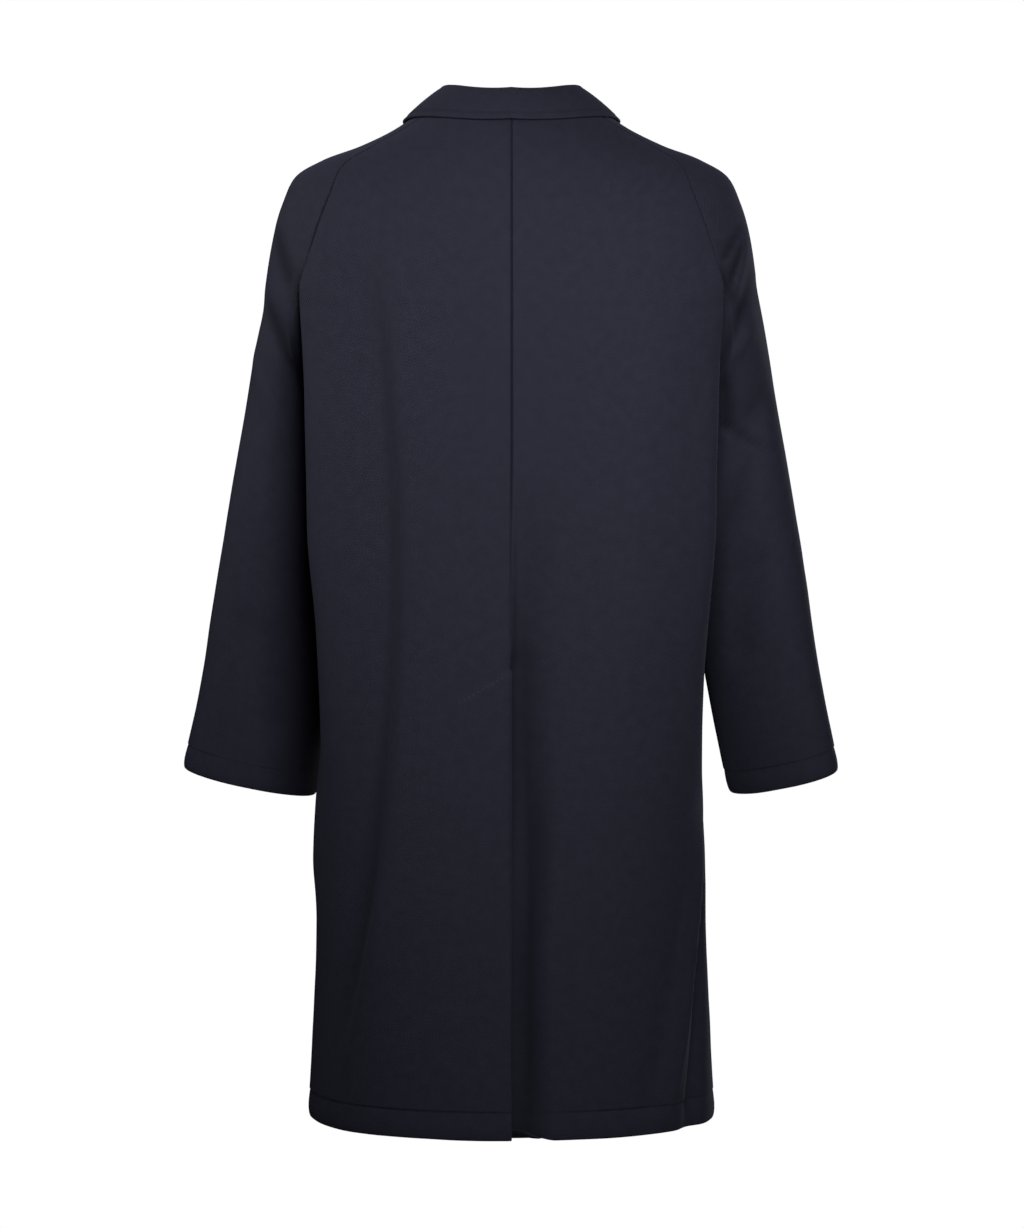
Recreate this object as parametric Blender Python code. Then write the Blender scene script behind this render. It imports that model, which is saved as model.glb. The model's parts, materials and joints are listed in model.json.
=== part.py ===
"""Raglan coat, worn form with no wearer: hollow cloth walls on a general figure.

Metres, +Z up. The front faces -Y, the wearer's left is +X. The origin is the middle of the
neck opening, near the height of the side neck points, where the wearer's shoulders carry the coat.

The cloth is lofted through sections. Yoke rings run from the neckline out over the shoulders
to the armpits. Below the armpits the form parts into one torso tube and two sleeve tubes.
The raglan seams are lines on the yoke, so back, fronts and sleeves share one smooth surface.
"""

import math
from collections import namedtuple

import bmesh
import bpy
import numpy as np
from mathutils import Vector

# Cloth and cut
CLOTH = 0.002
SEAM_GAP = 0.0003
HEM_Z = -0.994
HEM_BAND = 0.027
CUFF_BAND = 0.025
HEM_TURN_UP = 0.0014
HEM_STEP = 0.002
SHARPEST_MITRE = 0.4
HEM_ROLL_HEIGHT = 0.014
HEM_ROLL_IN = 0.003
SIDE_SEAM = 95.0

# Underarm: the lowest point of the left armhole, and how sharply sleeve and body draw apart there
UNDERARM = (0.183, -0.012, -0.265)
PARTING = 0.3
PARTING_CELLS = 3

# Front closing: the left front laps over the right one
LAP = 0.04
LAP_LIFT = 0.0021
LAP_FADE = 0.05
BUTTON_COUNT = 4
BUTTON_TOP_Z = -0.125
BUTTON_PITCH = 0.145
BUTTON_RADIUS = 0.0125
BUTTON_THICKNESS = 0.0042
BUTTON_SIDES = 20

# Back vent: the right back runs on under the left one, with a slanted top to the underlap. It lies
# a step lower from the vent top on, and sinks further in and hangs a little lower towards the hem.
VENT_TOP_Z = -0.551
VENT_UNDERLAP = 0.052
VENT_SLOPE = 0.57
VENT_SETTLES = 0.12
VENT_DROP = 0.0046
VENT_EASE = 0.028
VENT_SINK = 0.015
VENT_SINK_RUN = 0.26
VENT_FADE = 0.042
VENT_HANG = 0.0065

# Collar: a stand, a rolled top and a fall that lies over the neckline
COLLAR_CLOTH = 0.0024
COLLAR_ROLL = 0.0034
COLLAR_ROLL_TURN = 150.0
COLLAR_SEAM_GAP = 0.0011
COLLAR_OPENING = 0.007
COLLAR_STAND_CURVE = 0.45
COLLAR_FALL_CURVE = 0.45
COLLAR_FALL_BULGE = 0.003

# Cells across each stretch of a panel
BACK_CELLS = 12
FRONT_CELLS = 9
UNDERARM_CELLS = 5
CAP_CELLS = 5
LAP_CELLS = 2
VENT_CELLS = 3
COLLAR_CELLS = 17
STAND_CELLS = 4
ROLL_CELLS = 5
FALL_CELLS = 6

# Yoke rings from the neckline to the armpit. half_width, side_y and side_z place the shoulder
# crest; back and front give depth and height at the centre lines; seam_back and seam_front are
# the raglan seams, in degrees from the centre back and the centre front.
YokeRing = namedtuple(
    "YokeRing", "half_width side_y side_z back_y back_z front_y front_z square seam_back seam_front"
)
YOKE = (
    YokeRing(0.0800, -0.004, 0.0160, 0.078, -0.006, -0.080, -0.070, 2.00, 58.0, 54.0),
    YokeRing(0.1140, -0.004, -0.0102, 0.099, -0.028, -0.098, -0.092, 2.00, 65.0, 59.0),
    YokeRing(0.1510, -0.003, -0.0295, 0.117, -0.056, -0.116, -0.116, 2.10, 67.5, 62.0),
    YokeRing(0.1900, -0.002, -0.0445, 0.131, -0.092, -0.129, -0.143, 2.20, 66.5, 64.0),
    YokeRing(0.2155, -0.002, -0.0605, 0.140, -0.127, -0.139, -0.167, 2.25, 63.0, 65.0),
    YokeRing(0.2285, -0.003, -0.0870, 0.146, -0.160, -0.146, -0.188, 2.30, 63.0, 66.0),
    YokeRing(0.2440, -0.006, -0.1570, 0.149, -0.202, -0.153, -0.222, 2.30, 64.6, 67.0),
)

# Torso rings from below the armpit to the hem. press is how far the hanging arm pushes the side in.
TorsoRing = namedtuple("TorsoRing", "z half_width back_y front_y square press")
TORSO = (
    TorsoRing(-0.330, 0.2320, 0.152, -0.158, 2.5, 0.064),
    TorsoRing(-0.450, 0.2265, 0.152, -0.158, 2.5, 0.060),
    TorsoRing(-0.580, 0.2105, 0.154, -0.158, 2.4, 0.030),
    TorsoRing(-0.700, 0.1965, 0.157, -0.159, 2.3, 0.004),
    TorsoRing(-0.840, 0.1950, 0.161, -0.162, 2.2, 0.0),
    TorsoRing(HEM_Z, 0.2035, 0.168, -0.166, 2.2, 0.0),
)

# Where the arm presses, and where the columns of the armpit corners run, in degrees
PRESS_STARTS = 60.0
PRESS_FULL = 88.0
PRESS_HOLDS = 98.0
PRESS_ENDS = 126.0
TORSO_CORNER_BACK = 66.5
TORSO_CORNER_FRONT = 68.0
SLEEVE_CORNER = 105.0

# Sleeve rings from below the armpit to the cuff, with the inner side of each arm. tilt raises
# the outer side, lean lowers the back and skew turns the back towards the body, all in degrees.
SleeveRing = namedtuple(
    "SleeveRing", "outer_x inner_left inner_right mid_y half_depth mid_z tilt lean skew"
)
SLEEVE = (
    SleeveRing(0.2655, 0.1830, 0.1830, -0.034, 0.070, -0.2970, 30.0, 0.0, 8.0),
    SleeveRing(0.2820, 0.1810, 0.1810, -0.040, 0.065, -0.3920, 23.0, 3.0, 15.0),
    SleeveRing(0.2965, 0.1840, 0.1880, -0.045, 0.058, -0.4780, 17.0, 5.0, 21.0),
    SleeveRing(0.3110, 0.1905, 0.2025, -0.052, 0.051, -0.5680, 14.5, 6.0, 25.0),
    SleeveRing(0.3315, 0.1995, 0.2225, -0.061, 0.046, -0.6655, 13.5, 7.0, 27.0),
)
SLEEVE_SQUARE = 2.15

# Large folds of the body. Angles run round the body from the centre back, positive to the
# wearer's left, and a fold spreads before and after its line by two widths. A negative depth is a
# trough. Each fold fades in and out over FOLD_FADE of its length.
FOLD_FADE = 0.25
Fold = namedtuple("Fold", "top_z bottom_z top_angle mid_angle bottom_angle before after depth")
BODY_FOLDS = (
    Fold(-0.030, -1.010, 57.0, 45.0, 71.5, 0.027, 0.040, -0.0095),
    Fold(-0.050, -1.010, 43.5, 32.0, 58.5, 0.055, 0.027, 0.0100),
    Fold(-0.340, -0.820, -3.0, -3.5, -4.0, 0.030, 0.008, -0.0095),
    Fold(-0.660, -1.060, -87.0, -73.5, -58.0, 0.014, 0.018, -0.0085),
    Fold(-0.660, -1.060, -77.0, -63.5, -48.0, 0.012, 0.022, 0.0025),
    Fold(-0.540, -0.800, 92.0, 92.0, 92.0, 0.035, 0.035, 0.0050),
    Fold(-0.200, -0.700, -30.0, -24.0, -22.0, 0.020, 0.030, -0.0025),
    Fold(-0.150, -0.620, -48.0, -42.0, -40.0, 0.026, 0.020, 0.0022),
    Fold(-0.300, -0.900, 140.0, 145.0, 138.0, 0.020, 0.036, -0.0070),
    Fold(-0.450, -1.020, -142.0, -146.0, -150.0, 0.036, 0.020, -0.0090),
    Fold(-0.600, -1.020, 118.0, 114.0, 110.0, 0.024, 0.032, -0.0070),
)

# Large folds of the sleeves. turn runs round the sleeve from its outer side through its back.
SleeveFold = namedtuple("SleeveFold", "side top_z bottom_z top_turn bottom_turn before after depth")
SLEEVE_FOLDS = (
    SleeveFold(1, -0.170, -0.330, 66.0, 130.0, 0.018, 0.018, -0.0070),
    SleeveFold(1, -0.480, -0.640, 70.0, 125.0, 0.022, 0.022, -0.0050),
    SleeveFold(1, -0.330, -0.460, 300.0, 240.0, 0.020, 0.020, -0.0060),
    SleeveFold(-1, -0.150, -0.275, 74.0, 114.0, 0.014, 0.014, -0.0050),
    SleeveFold(-1, -0.260, -0.430, 62.0, 125.0, 0.018, 0.018, -0.0080),
    SleeveFold(-1, -0.420, -0.560, 80.0, 130.0, 0.020, 0.020, -0.0050),
    SleeveFold(-1, -0.330, -0.460, 295.0, 240.0, 0.020, 0.020, -0.0060),
)

# Collar sections from the centre back (share 0) to the centre front (share 1): height and inward
# lean of the stand, how far the fall covers the yoke, how high its edge lies over the cloth, and
# how far the edge spreads back from the front, in degrees.
CollarSection = namedtuple("CollarSection", "share stand lean cover lift spread")
COLLAR = (
    CollarSection(0.00, 0.0200, 0.0090, 0.0160, 0.0022, 0.0),
    CollarSection(0.25, 0.0150, 0.0115, 0.0245, 0.0018, 0.0),
    CollarSection(0.50, 0.0085, 0.0140, 0.0345, 0.0014, 0.0),
    CollarSection(0.75, 0.0125, 0.0080, 0.0375, 0.0030, 3.0),
    CollarSection(1.00, 0.0130, 0.0030, 0.0540, 0.0062, 24.0),
)

# Rows by section number: on the yoke from its first ring, below it from the last yoke ring
YOKE_LEVELS = (0.0, 0.5, 1.0, 1.7, 2.4, 3.1, 3.8, 4.5, 5.25, 6.0)
TORSO_LEVELS = (0.35, 0.7, 1.0, 1.35, 1.7, 2.05, 2.4, 3.15, 3.55, 3.9, 4.3, 4.7, 5.0, 5.4, 5.75)
SLEEVE_LEVELS = (0.35, 0.7, 1.0, 1.4, 1.8, 2.2, 2.6, 3.0, 3.4, 3.8, 4.2, 4.6)
ELBOW_LEVEL = 3.0
ARMPIT_ROW = len(YOKE_LEVELS) - 1
HEM_ROWS = 3

# Finish
NAVY = (0.0125, 0.0135, 0.0225, 1.0)
WOOL_ROUGHNESS = 0.85
HORN = (0.010, 0.009, 0.010, 1.0)
HORN_ROUGHNESS = 0.4
SHARP_EDGE = math.radians(50.0)


def ease(value):
    """Smooth step from 0 to 1."""
    t = np.clip(value, 0.0, 1.0)
    return t * t * (3.0 - 2.0 * t)


def between(start, end, cells):
    return np.linspace(start, end, cells + 1)


def unit(vectors):
    return vectors / np.linalg.norm(vectors, axis=-1, keepdims=True)


def oval(angle, half_width, side_y, back_y, front_y, square):
    """Points of a polar superellipse, and how far each is towards the back or front line, 0 to 1."""
    sine, cosine = np.sin(angle), np.cos(angle)
    depth = np.where(cosine >= 0.0, back_y - side_y, side_y - front_y)
    radius = ((np.abs(sine) / half_width) ** square + (np.abs(cosine) / depth) ** square) ** (-1.0 / square)
    return radius * sine, side_y + radius * cosine, radius * np.abs(cosine) / depth


def yoke_ring(ring, angle):
    """Points of one yoke ring at these angles, in radians from the centre back."""
    x, y, towards = oval(angle, ring.half_width, ring.side_y, ring.back_y, ring.front_y, ring.square)
    end_z = np.where(np.cos(angle) >= 0.0, ring.back_z, ring.front_z)
    return np.stack([x, y, ring.side_z + (end_z - ring.side_z) * towards**2], axis=-1)


def torso_ring(ring, angle):
    """Points of one torso ring at these angles, with the sides pressed in by the arms."""
    x, y, _ = oval(angle, ring.half_width, 0.0, ring.back_y, ring.front_y, ring.square)
    turn = np.abs(np.degrees(np.arctan2(np.sin(angle), np.cos(angle))))
    push = ring.press * ease((turn - PRESS_STARTS) / (PRESS_FULL - PRESS_STARTS))
    push = push * ease((PRESS_ENDS - turn) / (PRESS_ENDS - PRESS_HOLDS))
    return np.stack([x - push * np.sin(angle), y - push * np.cos(angle), np.full_like(x, ring.z)], axis=-1)


def sleeve_width(ring, side):
    """Middle and half width of a sleeve ring, across the body."""
    inner_x = ring.inner_left if side > 0 else ring.inner_right
    return (ring.outer_x + inner_x) / 2, (ring.outer_x - inner_x) / 2


def sleeve_ring(ring, turn, side):
    """Points of one sleeve ring; turn is 0 at the outer side and 90 degrees at the back."""
    middle_x, half_width = sleeve_width(ring, side)
    from_back = math.pi / 2 - turn
    out, back, _ = oval(from_back, half_width, 0.0, ring.half_depth, -ring.half_depth, SLEEVE_SQUARE)
    z = ring.mid_z + out * math.tan(math.radians(ring.tilt)) - back * math.tan(math.radians(ring.lean))
    y = ring.mid_y + back + out * math.tan(math.radians(ring.skew))
    return np.stack([side * (middle_x + out), y, z], axis=-1)


def spline_speed(sections, start=None):
    """Length of each span between sections, and the direction of travel at each section."""
    steps = np.diff(sections, axis=0)
    length = np.maximum(np.linalg.norm(steps, axis=-1, keepdims=True), 1e-6)
    slope = steps / length
    before, after = length[:-1], length[1:]
    speed = np.empty_like(sections)
    speed[1:-1] = (slope[:-1] * after + slope[1:] * before) / (before + after)
    speed[0] = 1.5 * slope[0] - 0.5 * speed[1] if start is None else start
    speed[-1] = 1.5 * slope[-1] - 0.5 * speed[-2]
    return length, speed


def loft(sections, levels, start=None):
    """Rows at fractional section numbers, on smooth curves through the sections."""
    length, speed = spline_speed(sections, start)
    rows = []
    for level in levels:
        k = min(int(level), len(sections) - 2)
        t = level - k
        place = (1 + 2 * t) * (1 - t) ** 2 * sections[k] + t * t * (3 - 2 * t) * sections[k + 1]
        rows.append(place + length[k] * (t * (1 - t) ** 2 * speed[k] - t * t * (1 - t) * speed[k + 1]))
    return np.array(rows)


def armhole_arc(corner):
    """Lower armhole from an armpit corner to the underarm point: a quarter of an oval."""
    side = math.copysign(1.0, corner[0])
    under = np.array(UNDERARM) * (side, 1.0, 1.0)
    t = between(0.0, math.pi / 2, UNDERARM_CELLS)[:, None]
    level, down = 1.0 - np.cos(t), np.sin(t)
    return corner + (under - corner) * np.concatenate([level, level, down], axis=1)


def seam_angle(ring, side, front):
    """Raglan seam on a yoke ring, in radians from the centre back."""
    return side * math.radians(180.0 - ring.seam_front if front else ring.seam_back)


def torso_level(z):
    """Section number of the torso at a height."""
    heights = [YOKE[-1].back_z] + [ring.z for ring in TORSO]
    column = np.array([(0.0, 0.0, height) for height in heights])
    numbers = np.linspace(0, len(TORSO), 40 * len(TORSO) + 1)
    return float(np.interp(-z, -loft(column, numbers)[:, 2], numbers))


def torso_rows():
    """Section numbers of the torso's rows, with one at the vent top, and close ones at the hem."""
    band_z = HEM_Z + HEM_BAND
    marks = (VENT_TOP_Z, band_z + HEM_STEP, band_z, HEM_Z + HEM_ROLL_HEIGHT / 2, HEM_Z)
    return tuple(sorted(list(TORSO_LEVELS) + [torso_level(z) for z in marks]))


VENT_ROW = ARMPIT_ROW + 1 + torso_rows().index(torso_level(VENT_TOP_Z))
BODY_BANDS = (("yoke", "waist", "skirt"), (0, ARMPIT_ROW, VENT_ROW))
ELBOW_ROW = ARMPIT_ROW + 1 + SLEEVE_LEVELS.index(ELBOW_LEVEL)
SLEEVE_BANDS = (("cap", "arm", "forearm"), (0, ARMPIT_ROW, ELBOW_ROW))


def sleeve_rows():
    """Section numbers of a sleeve's rows, close together at the cuff."""
    last = len(SLEEVE)
    run = math.dist((SLEEVE[-1].outer_x, SLEEVE[-1].mid_z), (SLEEVE[-2].outer_x, SLEEVE[-2].mid_z))
    band = last - CUFF_BAND / run
    return SLEEVE_LEVELS + (band - HEM_STEP / run, band, last - HEM_ROLL_HEIGHT / 2 / run, float(last))


def fold_push(fold, across, down):
    """Height of one fold at a distance across it and a share of its length."""
    reach = across / np.where(across < 0.0, fold.before, fold.after)
    fade = ease(down / FOLD_FADE) * ease((1.0 - down) / FOLD_FADE)
    return fold.depth * fade * np.exp(-(reach**2))


def hem_roll(grid):
    """How far the lower edge of a grid rolls in, as a turned hem or cuff does."""
    steps = np.linalg.norm(np.diff(grid, axis=0), axis=-1)
    above = np.concatenate([np.cumsum(steps[::-1], axis=0)[::-1], np.zeros((1, grid.shape[1]))])
    turn = np.clip(1.0 - above / HEM_ROLL_HEIGHT, 0.0, 1.0)
    return -HEM_ROLL_IN * (1.0 - np.sqrt(1.0 - turn**2))


def turned_by(angle, path):
    """Angle left from a path, in radians between half a turn either way."""
    return np.radians((angle - path + 180.0) % 360.0 - 180.0)


def fold_body(points):
    """Moves torso points in or out along the large folds, and in at the hem."""
    angle = np.degrees(np.arctan2(points[..., 0], points[..., 1]))
    radius = np.hypot(points[..., 0], points[..., 1])
    push = hem_roll(points)
    for fold in BODY_FOLDS:
        down = (fold.top_z - points[..., 2]) / (fold.top_z - fold.bottom_z)
        path = fold.top_angle * (1 - down) * (1 - 2 * down) + 4 * fold.mid_angle * down * (1 - down)
        path = path + fold.bottom_angle * down * (2 * down - 1)
        push += fold_push(fold, radius * turned_by(angle, path), down)
    outward = points * (1.0, 1.0, 0.0) / radius[..., None]
    return points + outward * push[..., None]


def fold_sleeve(points, side):
    """Moves sleeve points in or out along the large folds of that sleeve, and in at the cuff."""
    falls = [-ring.mid_z for ring in SLEEVE]
    middle_x = np.interp(-points[..., 2], falls, [sleeve_width(ring, side)[0] for ring in SLEEVE])
    middle_y = np.interp(-points[..., 2], falls, [ring.mid_y for ring in SLEEVE])
    out, back = side * points[..., 0] - middle_x, points[..., 1] - middle_y
    turn = np.degrees(np.arctan2(back, out))
    radius = np.hypot(out, back)
    push = hem_roll(points)
    for fold in SLEEVE_FOLDS:
        if fold.side == side:
            down = (fold.top_z - points[..., 2]) / (fold.top_z - fold.bottom_z)
            path = fold.top_turn + (fold.bottom_turn - fold.top_turn) * np.clip(down, 0.0, 1.0)
            push += fold_push(fold, radius * turned_by(turn, path), down)
    outward = np.stack([side * out, back, np.zeros_like(out)], axis=-1) / radius[..., None]
    return points + outward * push[..., None]


def lofted_panel(yoke, lower, arc, arc_lower, lower_levels, arc_first, parting):
    """Grid of a panel: a block from the neckline down, and an underarm block below the armhole arc.

    parting turns the columns near the armpit corner sideways, so that sleeve and body draw apart.
    """
    sideways = np.sign(arc[0, 0]) * parting
    columns = np.arange(yoke.shape[1])
    from_corner = columns if arc_first else columns[::-1]
    start = spline_speed(yoke)[1][-1]
    start[:, 0] += sideways * ease(1.0 - from_corner / PARTING_CELLS)
    below = loft(np.concatenate([yoke[-1:], lower]), lower_levels, start)
    main = np.concatenate([loft(yoke, YOKE_LEVELS), below])
    arc_sections = np.concatenate([arc[None], arc_lower])
    arc_start = spline_speed(arc_sections)[1][0]
    arc_start[:, 0] += sideways
    under = loft(arc_sections, (0.0,) + lower_levels, arc_start)
    nothing = np.full((ARMPIT_ROW, under.shape[1], 3), np.nan)
    under = np.concatenate([nothing, under])
    blocks = [under[:, :-1], main] if arc_first else [main, under[:, 1:]]
    return np.concatenate(blocks, axis=1)


def beyond(ring, centre, side, width, cells):
    """Angles that carry a ring on past a centre line, up to this width."""
    side_y = getattr(ring, "side_y", 0.0)
    reach = abs((ring.back_y if centre == 0.0 else ring.front_y) - side_y)
    return centre + side * between(0.0, math.atan2(width, reach), cells)[1:]


def back_panel(side):
    """Half of the back, from the centre back to the raglan and side seams. The right has the underlap."""

    def angles(ring, edge):
        run = between(0.0, edge, BACK_CELLS)
        underlap = beyond(ring, 0.0, 1.0, VENT_UNDERLAP, VENT_CELLS)[::-1]
        return run if side > 0 else np.concatenate([underlap, run])

    edge = side * math.radians(TORSO_CORNER_BACK)
    upper = np.array([yoke_ring(r, angles(r, seam_angle(r, side, False))) for r in YOKE])
    lower = np.array([torso_ring(r, angles(r, edge)) for r in TORSO])
    under = between(edge, side * math.radians(SIDE_SEAM), UNDERARM_CELLS)
    arc_lower = np.array([torso_ring(r, under) for r in TORSO])
    grid = lofted_panel(upper, lower, armhole_arc(upper[-1, -1]), arc_lower, torso_rows(), False, -PARTING)
    return grid if side > 0 else grid[:, ::-1]


def front_panel(side):
    """Half of the front, from the side seam past the centre front to the front edge."""

    def angles(ring, edge):
        middle = side * math.pi
        run = between(edge, middle, FRONT_CELLS)
        return np.concatenate([run, beyond(ring, middle, side, LAP, LAP_CELLS)])

    edge = side * math.radians(180.0 - TORSO_CORNER_FRONT)
    upper = np.array([yoke_ring(r, angles(r, seam_angle(r, side, True))) for r in YOKE])
    lower = np.array([torso_ring(r, angles(r, edge)) for r in TORSO])
    under = between(side * math.radians(SIDE_SEAM), edge, UNDERARM_CELLS)
    arc_lower = np.array([torso_ring(r, under) for r in TORSO])
    arc = armhole_arc(upper[-1, 0])[::-1]
    grid = lofted_panel(upper, lower, arc, arc_lower, torso_rows(), True, -PARTING)
    return grid if side > 0 else grid[:, ::-1]


def sleeve_panel(side, front):
    """Front or back half of a raglan sleeve, from the neckline to the cuff."""
    sign = -1.0 if front else 1.0
    crest = side * math.pi / 2
    corner = sign * math.radians(SLEEVE_CORNER)
    upper = np.array([yoke_ring(r, between(crest, seam_angle(r, side, front), CAP_CELLS)) for r in YOKE])
    lower = np.array([sleeve_ring(r, between(0.0, corner, CAP_CELLS), side) for r in SLEEVE])
    under = between(corner, sign * math.pi, UNDERARM_CELLS)
    arc_lower = np.array([sleeve_ring(r, under, side) for r in SLEEVE])
    grid = lofted_panel(upper, lower, armhole_arc(upper[-1, -1]), arc_lower, sleeve_rows(), False, PARTING)
    return grid if front == (side > 0) else grid[:, ::-1]


class Panel:
    """A named sheet of cloth: a grid of outer points, which may have gaps, and its thickness."""

    def __init__(self, name, grid, tube=None):
        """tube says which tube the cloth follows below the armhole, where sleeve and body part."""
        self.name = name
        self.grid = grid
        found = ~np.isnan(grid[..., 0])
        whole = found[:-1, :-1] & found[:-1, 1:] & found[1:, 1:] & found[1:, :-1]
        self.used = np.zeros_like(found)
        for corner in (self.used[:-1, :-1], self.used[:-1, 1:], self.used[1:, 1:], self.used[1:, :-1]):
            corner |= whole
        self.index = np.full(found.shape, -1)
        self.index[self.used] = np.arange(self.used.sum())
        self.points = grid[self.used]
        k = self.index
        self.cells = np.stack([k[:-1, :-1], k[:-1, 1:], k[1:, 1:], k[1:, :-1]], axis=-1)[whole]
        self.inside = np.full(len(self.points), CLOTH)
        self.tubes = np.full(len(self.points), "", dtype=object)
        if tube:
            arc = self.index[ARMPIT_ROW]
            self.tubes[arc[(arc >= 0) & (self.index[ARMPIT_ROW - 1] < 0)]] = tube

    def turn_up_hem(self):
        """Thickens the last rows, where the hem is turned up inside."""
        band = self.index[-HEM_ROWS:]
        self.inside[band[band >= 0]] += HEM_TURN_UP

    def band(self, name, first, last):
        """The rows from first to last as a panel of its own, with the same normals and thickness."""
        band = Panel(f"{self.name}_{name}", self.grid[first : last + 1])
        kept = self.index[first : last + 1][band.used]
        band.normals = self.normals[kept]
        band.inside = self.inside[kept]
        return band

    def own_normals(self):
        """Sum of the cells' normals at each point."""
        corners = self.points[self.cells]
        faces = np.cross(corners[:, 2] - corners[:, 0], corners[:, 3] - corners[:, 1])
        total = np.zeros_like(self.points)
        for corner in range(4):
            np.add.at(total, self.cells[:, corner], faces)
        return total

    def edges(self):
        """Directed edges that only one cell uses."""
        ends = np.concatenate([self.cells[:, [k, (k + 1) % 4]] for k in range(4)]).tolist()
        used = {tuple(edge) for edge in ends}
        return [(a, b) for a, b in ends if (b, a) not in used]


def share_normals(panels):
    """Gives the panels unit normals that are the same on both sides of a seam."""
    pooled = {}
    for panel in panels:
        panel.keys = list(zip(map(tuple, np.round(panel.points, 4)), panel.tubes))
        for key, normal in zip(panel.keys, panel.own_normals()):
            pooled[key] = pooled.get(key, 0.0) + normal
    for panel in panels:
        panel.normals = unit(np.array([pooled[key] for key in panel.keys]))


def seam_inset(panel):
    """The panel's points, with its edges drawn in along the sheet by half the seam gap."""
    into = {}
    for a, b in panel.edges():
        along = panel.points[a] - panel.points[b]
        for end in (a, b):
            into.setdefault(end, []).append(unit(np.cross(along, panel.normals[end])))
    moved = panel.points.copy()
    for end, (first, second) in into.items():
        moved[end] += SEAM_GAP / 2 * (first + second) / max(1.0 + float(first @ second), SHARPEST_MITRE)
    return moved


def moved_out(grid, amount):
    """The same grid with each point moved out along the cloth's normal."""
    sheet = Panel("", grid)
    found = sheet.index >= 0
    moved = grid.copy()
    moved[found] += unit(sheet.own_normals()) * amount[found][:, None]
    return moved


def make_back(side):
    """A back panel with its folds; the right one sinks under the left along the vent."""
    grid = fold_body(back_panel(side))
    if side > 0:
        return Panel("back_left", grid, "torso")
    below = ease((VENT_TOP_Z + VENT_EASE - grid[..., 2]) / VENT_EASE)
    sink = ease((VENT_TOP_Z - grid[..., 2]) / VENT_SINK_RUN)
    near = ease((grid[..., 0] + VENT_FADE) / VENT_FADE)
    grid = moved_out(grid, -(VENT_DROP * below + VENT_SINK * sink) * near)
    grid[..., 2] -= VENT_HANG * sink * near
    underlap = grid[:, -VENT_CELLS:]
    above = grid[:, -VENT_CELLS - 1, 2] > VENT_TOP_Z + HEM_STEP
    slant = VENT_SLOPE * ease((underlap[..., 2] - VENT_TOP_Z + VENT_SETTLES) / VENT_SETTLES)
    underlap[..., 2] -= slant * underlap[..., 0]
    underlap[above] = np.nan
    return Panel("back_right", grid, "torso")


def make_front(side):
    """A front panel with its folds; near the closing the left lies over the right."""
    grid = fold_body(front_panel(side))
    near = ease((LAP + LAP_FADE - side * grid[..., 0]) / LAP_FADE)
    grid = moved_out(grid, side * LAP_LIFT * near)
    return Panel("front_left" if side > 0 else "front_right", grid, "torso")


def make_sleeve(side, front):
    """Half of a sleeve, with its folds below the armpit."""
    grid = sleeve_panel(side, front)
    below = ARMPIT_ROW + 1
    grid[below:] = fold_sleeve(grid[below:], side)
    which = "left" if side > 0 else "right"
    return Panel(f"sleeve_{'front' if front else 'back'}_{which}", grid, f"sleeve_{which}")


def bands_of(panel):
    """A long panel parted across at the armpit, and then the body at the vent top, a sleeve at the elbow.

    Each band is a plain bent wall: a yoke, a waist and a skirt, or a cap, an arm and a forearm.
    """
    names, rows = SLEEVE_BANDS if panel.name.startswith("sleeve") else BODY_BANDS
    ends = rows + (len(panel.grid) - 1,)
    return [panel.band(name, first, last) for name, first, last in zip(names, ends, ends[1:])]


def bezier(start, control, end, cells):
    t = between(0.0, 1.0, cells)[:, None]
    return (1 - t) ** 2 * start + 2 * t * (1 - t) * control + t * t * end


def yoke_frame(angle, distance):
    """Point, outward normal and downhill direction on the yoke, a distance below the neckline."""
    beside = 0.01
    turns = np.array([angle - beside, angle, angle + beside])
    columns = np.array([yoke_ring(ring, turns) for ring in YOKE])
    levels = np.linspace(0.0, 4.0, 161)
    middle = loft(columns, levels)[:, 1]
    run = np.concatenate([[0.0], np.cumsum(np.linalg.norm(np.diff(middle, axis=0), axis=1))])
    level = float(np.interp(distance, run, levels))
    here, next_row = loft(columns, [level, level + beside])
    downhill = unit(next_row[1] - here[1])
    return here[1], unit(np.cross(here[2] - here[0], downhill)), downhill


def collar_section(turn):
    """Middle of the collar cloth at a turn from -1, right centre front, to 1, left centre front."""
    share, side = abs(turn), math.copysign(1.0, turn)
    shares = [row.share for row in COLLAR]
    here = CollarSection(*(float(np.interp(share, shares, column)) for column in zip(*COLLAR)))
    seam, normal, downhill = yoke_frame(side * math.pi * share, 0.0)
    outward = unit(normal * (1.0, 1.0, 0.0))
    up = np.array((0.0, 0.0, 1.0))
    base = seam - normal * CLOTH / 2 - downhill * COLLAR_SEAM_GAP
    top = base - outward * here.lean + up * here.stand
    stand = bezier(base, base - downhill * here.stand * COLLAR_STAND_CURVE, top, STAND_CELLS)
    around = between(0.0, math.radians(COLLAR_ROLL_TURN), ROLL_CELLS)[1:, None]
    roll = top + COLLAR_ROLL * (outward * (1.0 - np.cos(around)) + up * np.sin(around))
    edge_angle = side * (math.pi * share - math.radians(here.spread))
    under, edge_normal, _ = yoke_frame(edge_angle, here.cover)
    edge = under + edge_normal * (here.lift + COLLAR_CLOTH / 2)
    crown = roll[-1] + COLLAR_FALL_CURVE * (edge - roll[-1]) + COLLAR_FALL_BULGE * unit(outward + up)
    return np.concatenate([stand, roll, bezier(roll[-1], crown, edge, FALL_CELLS)[1:]])


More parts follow.
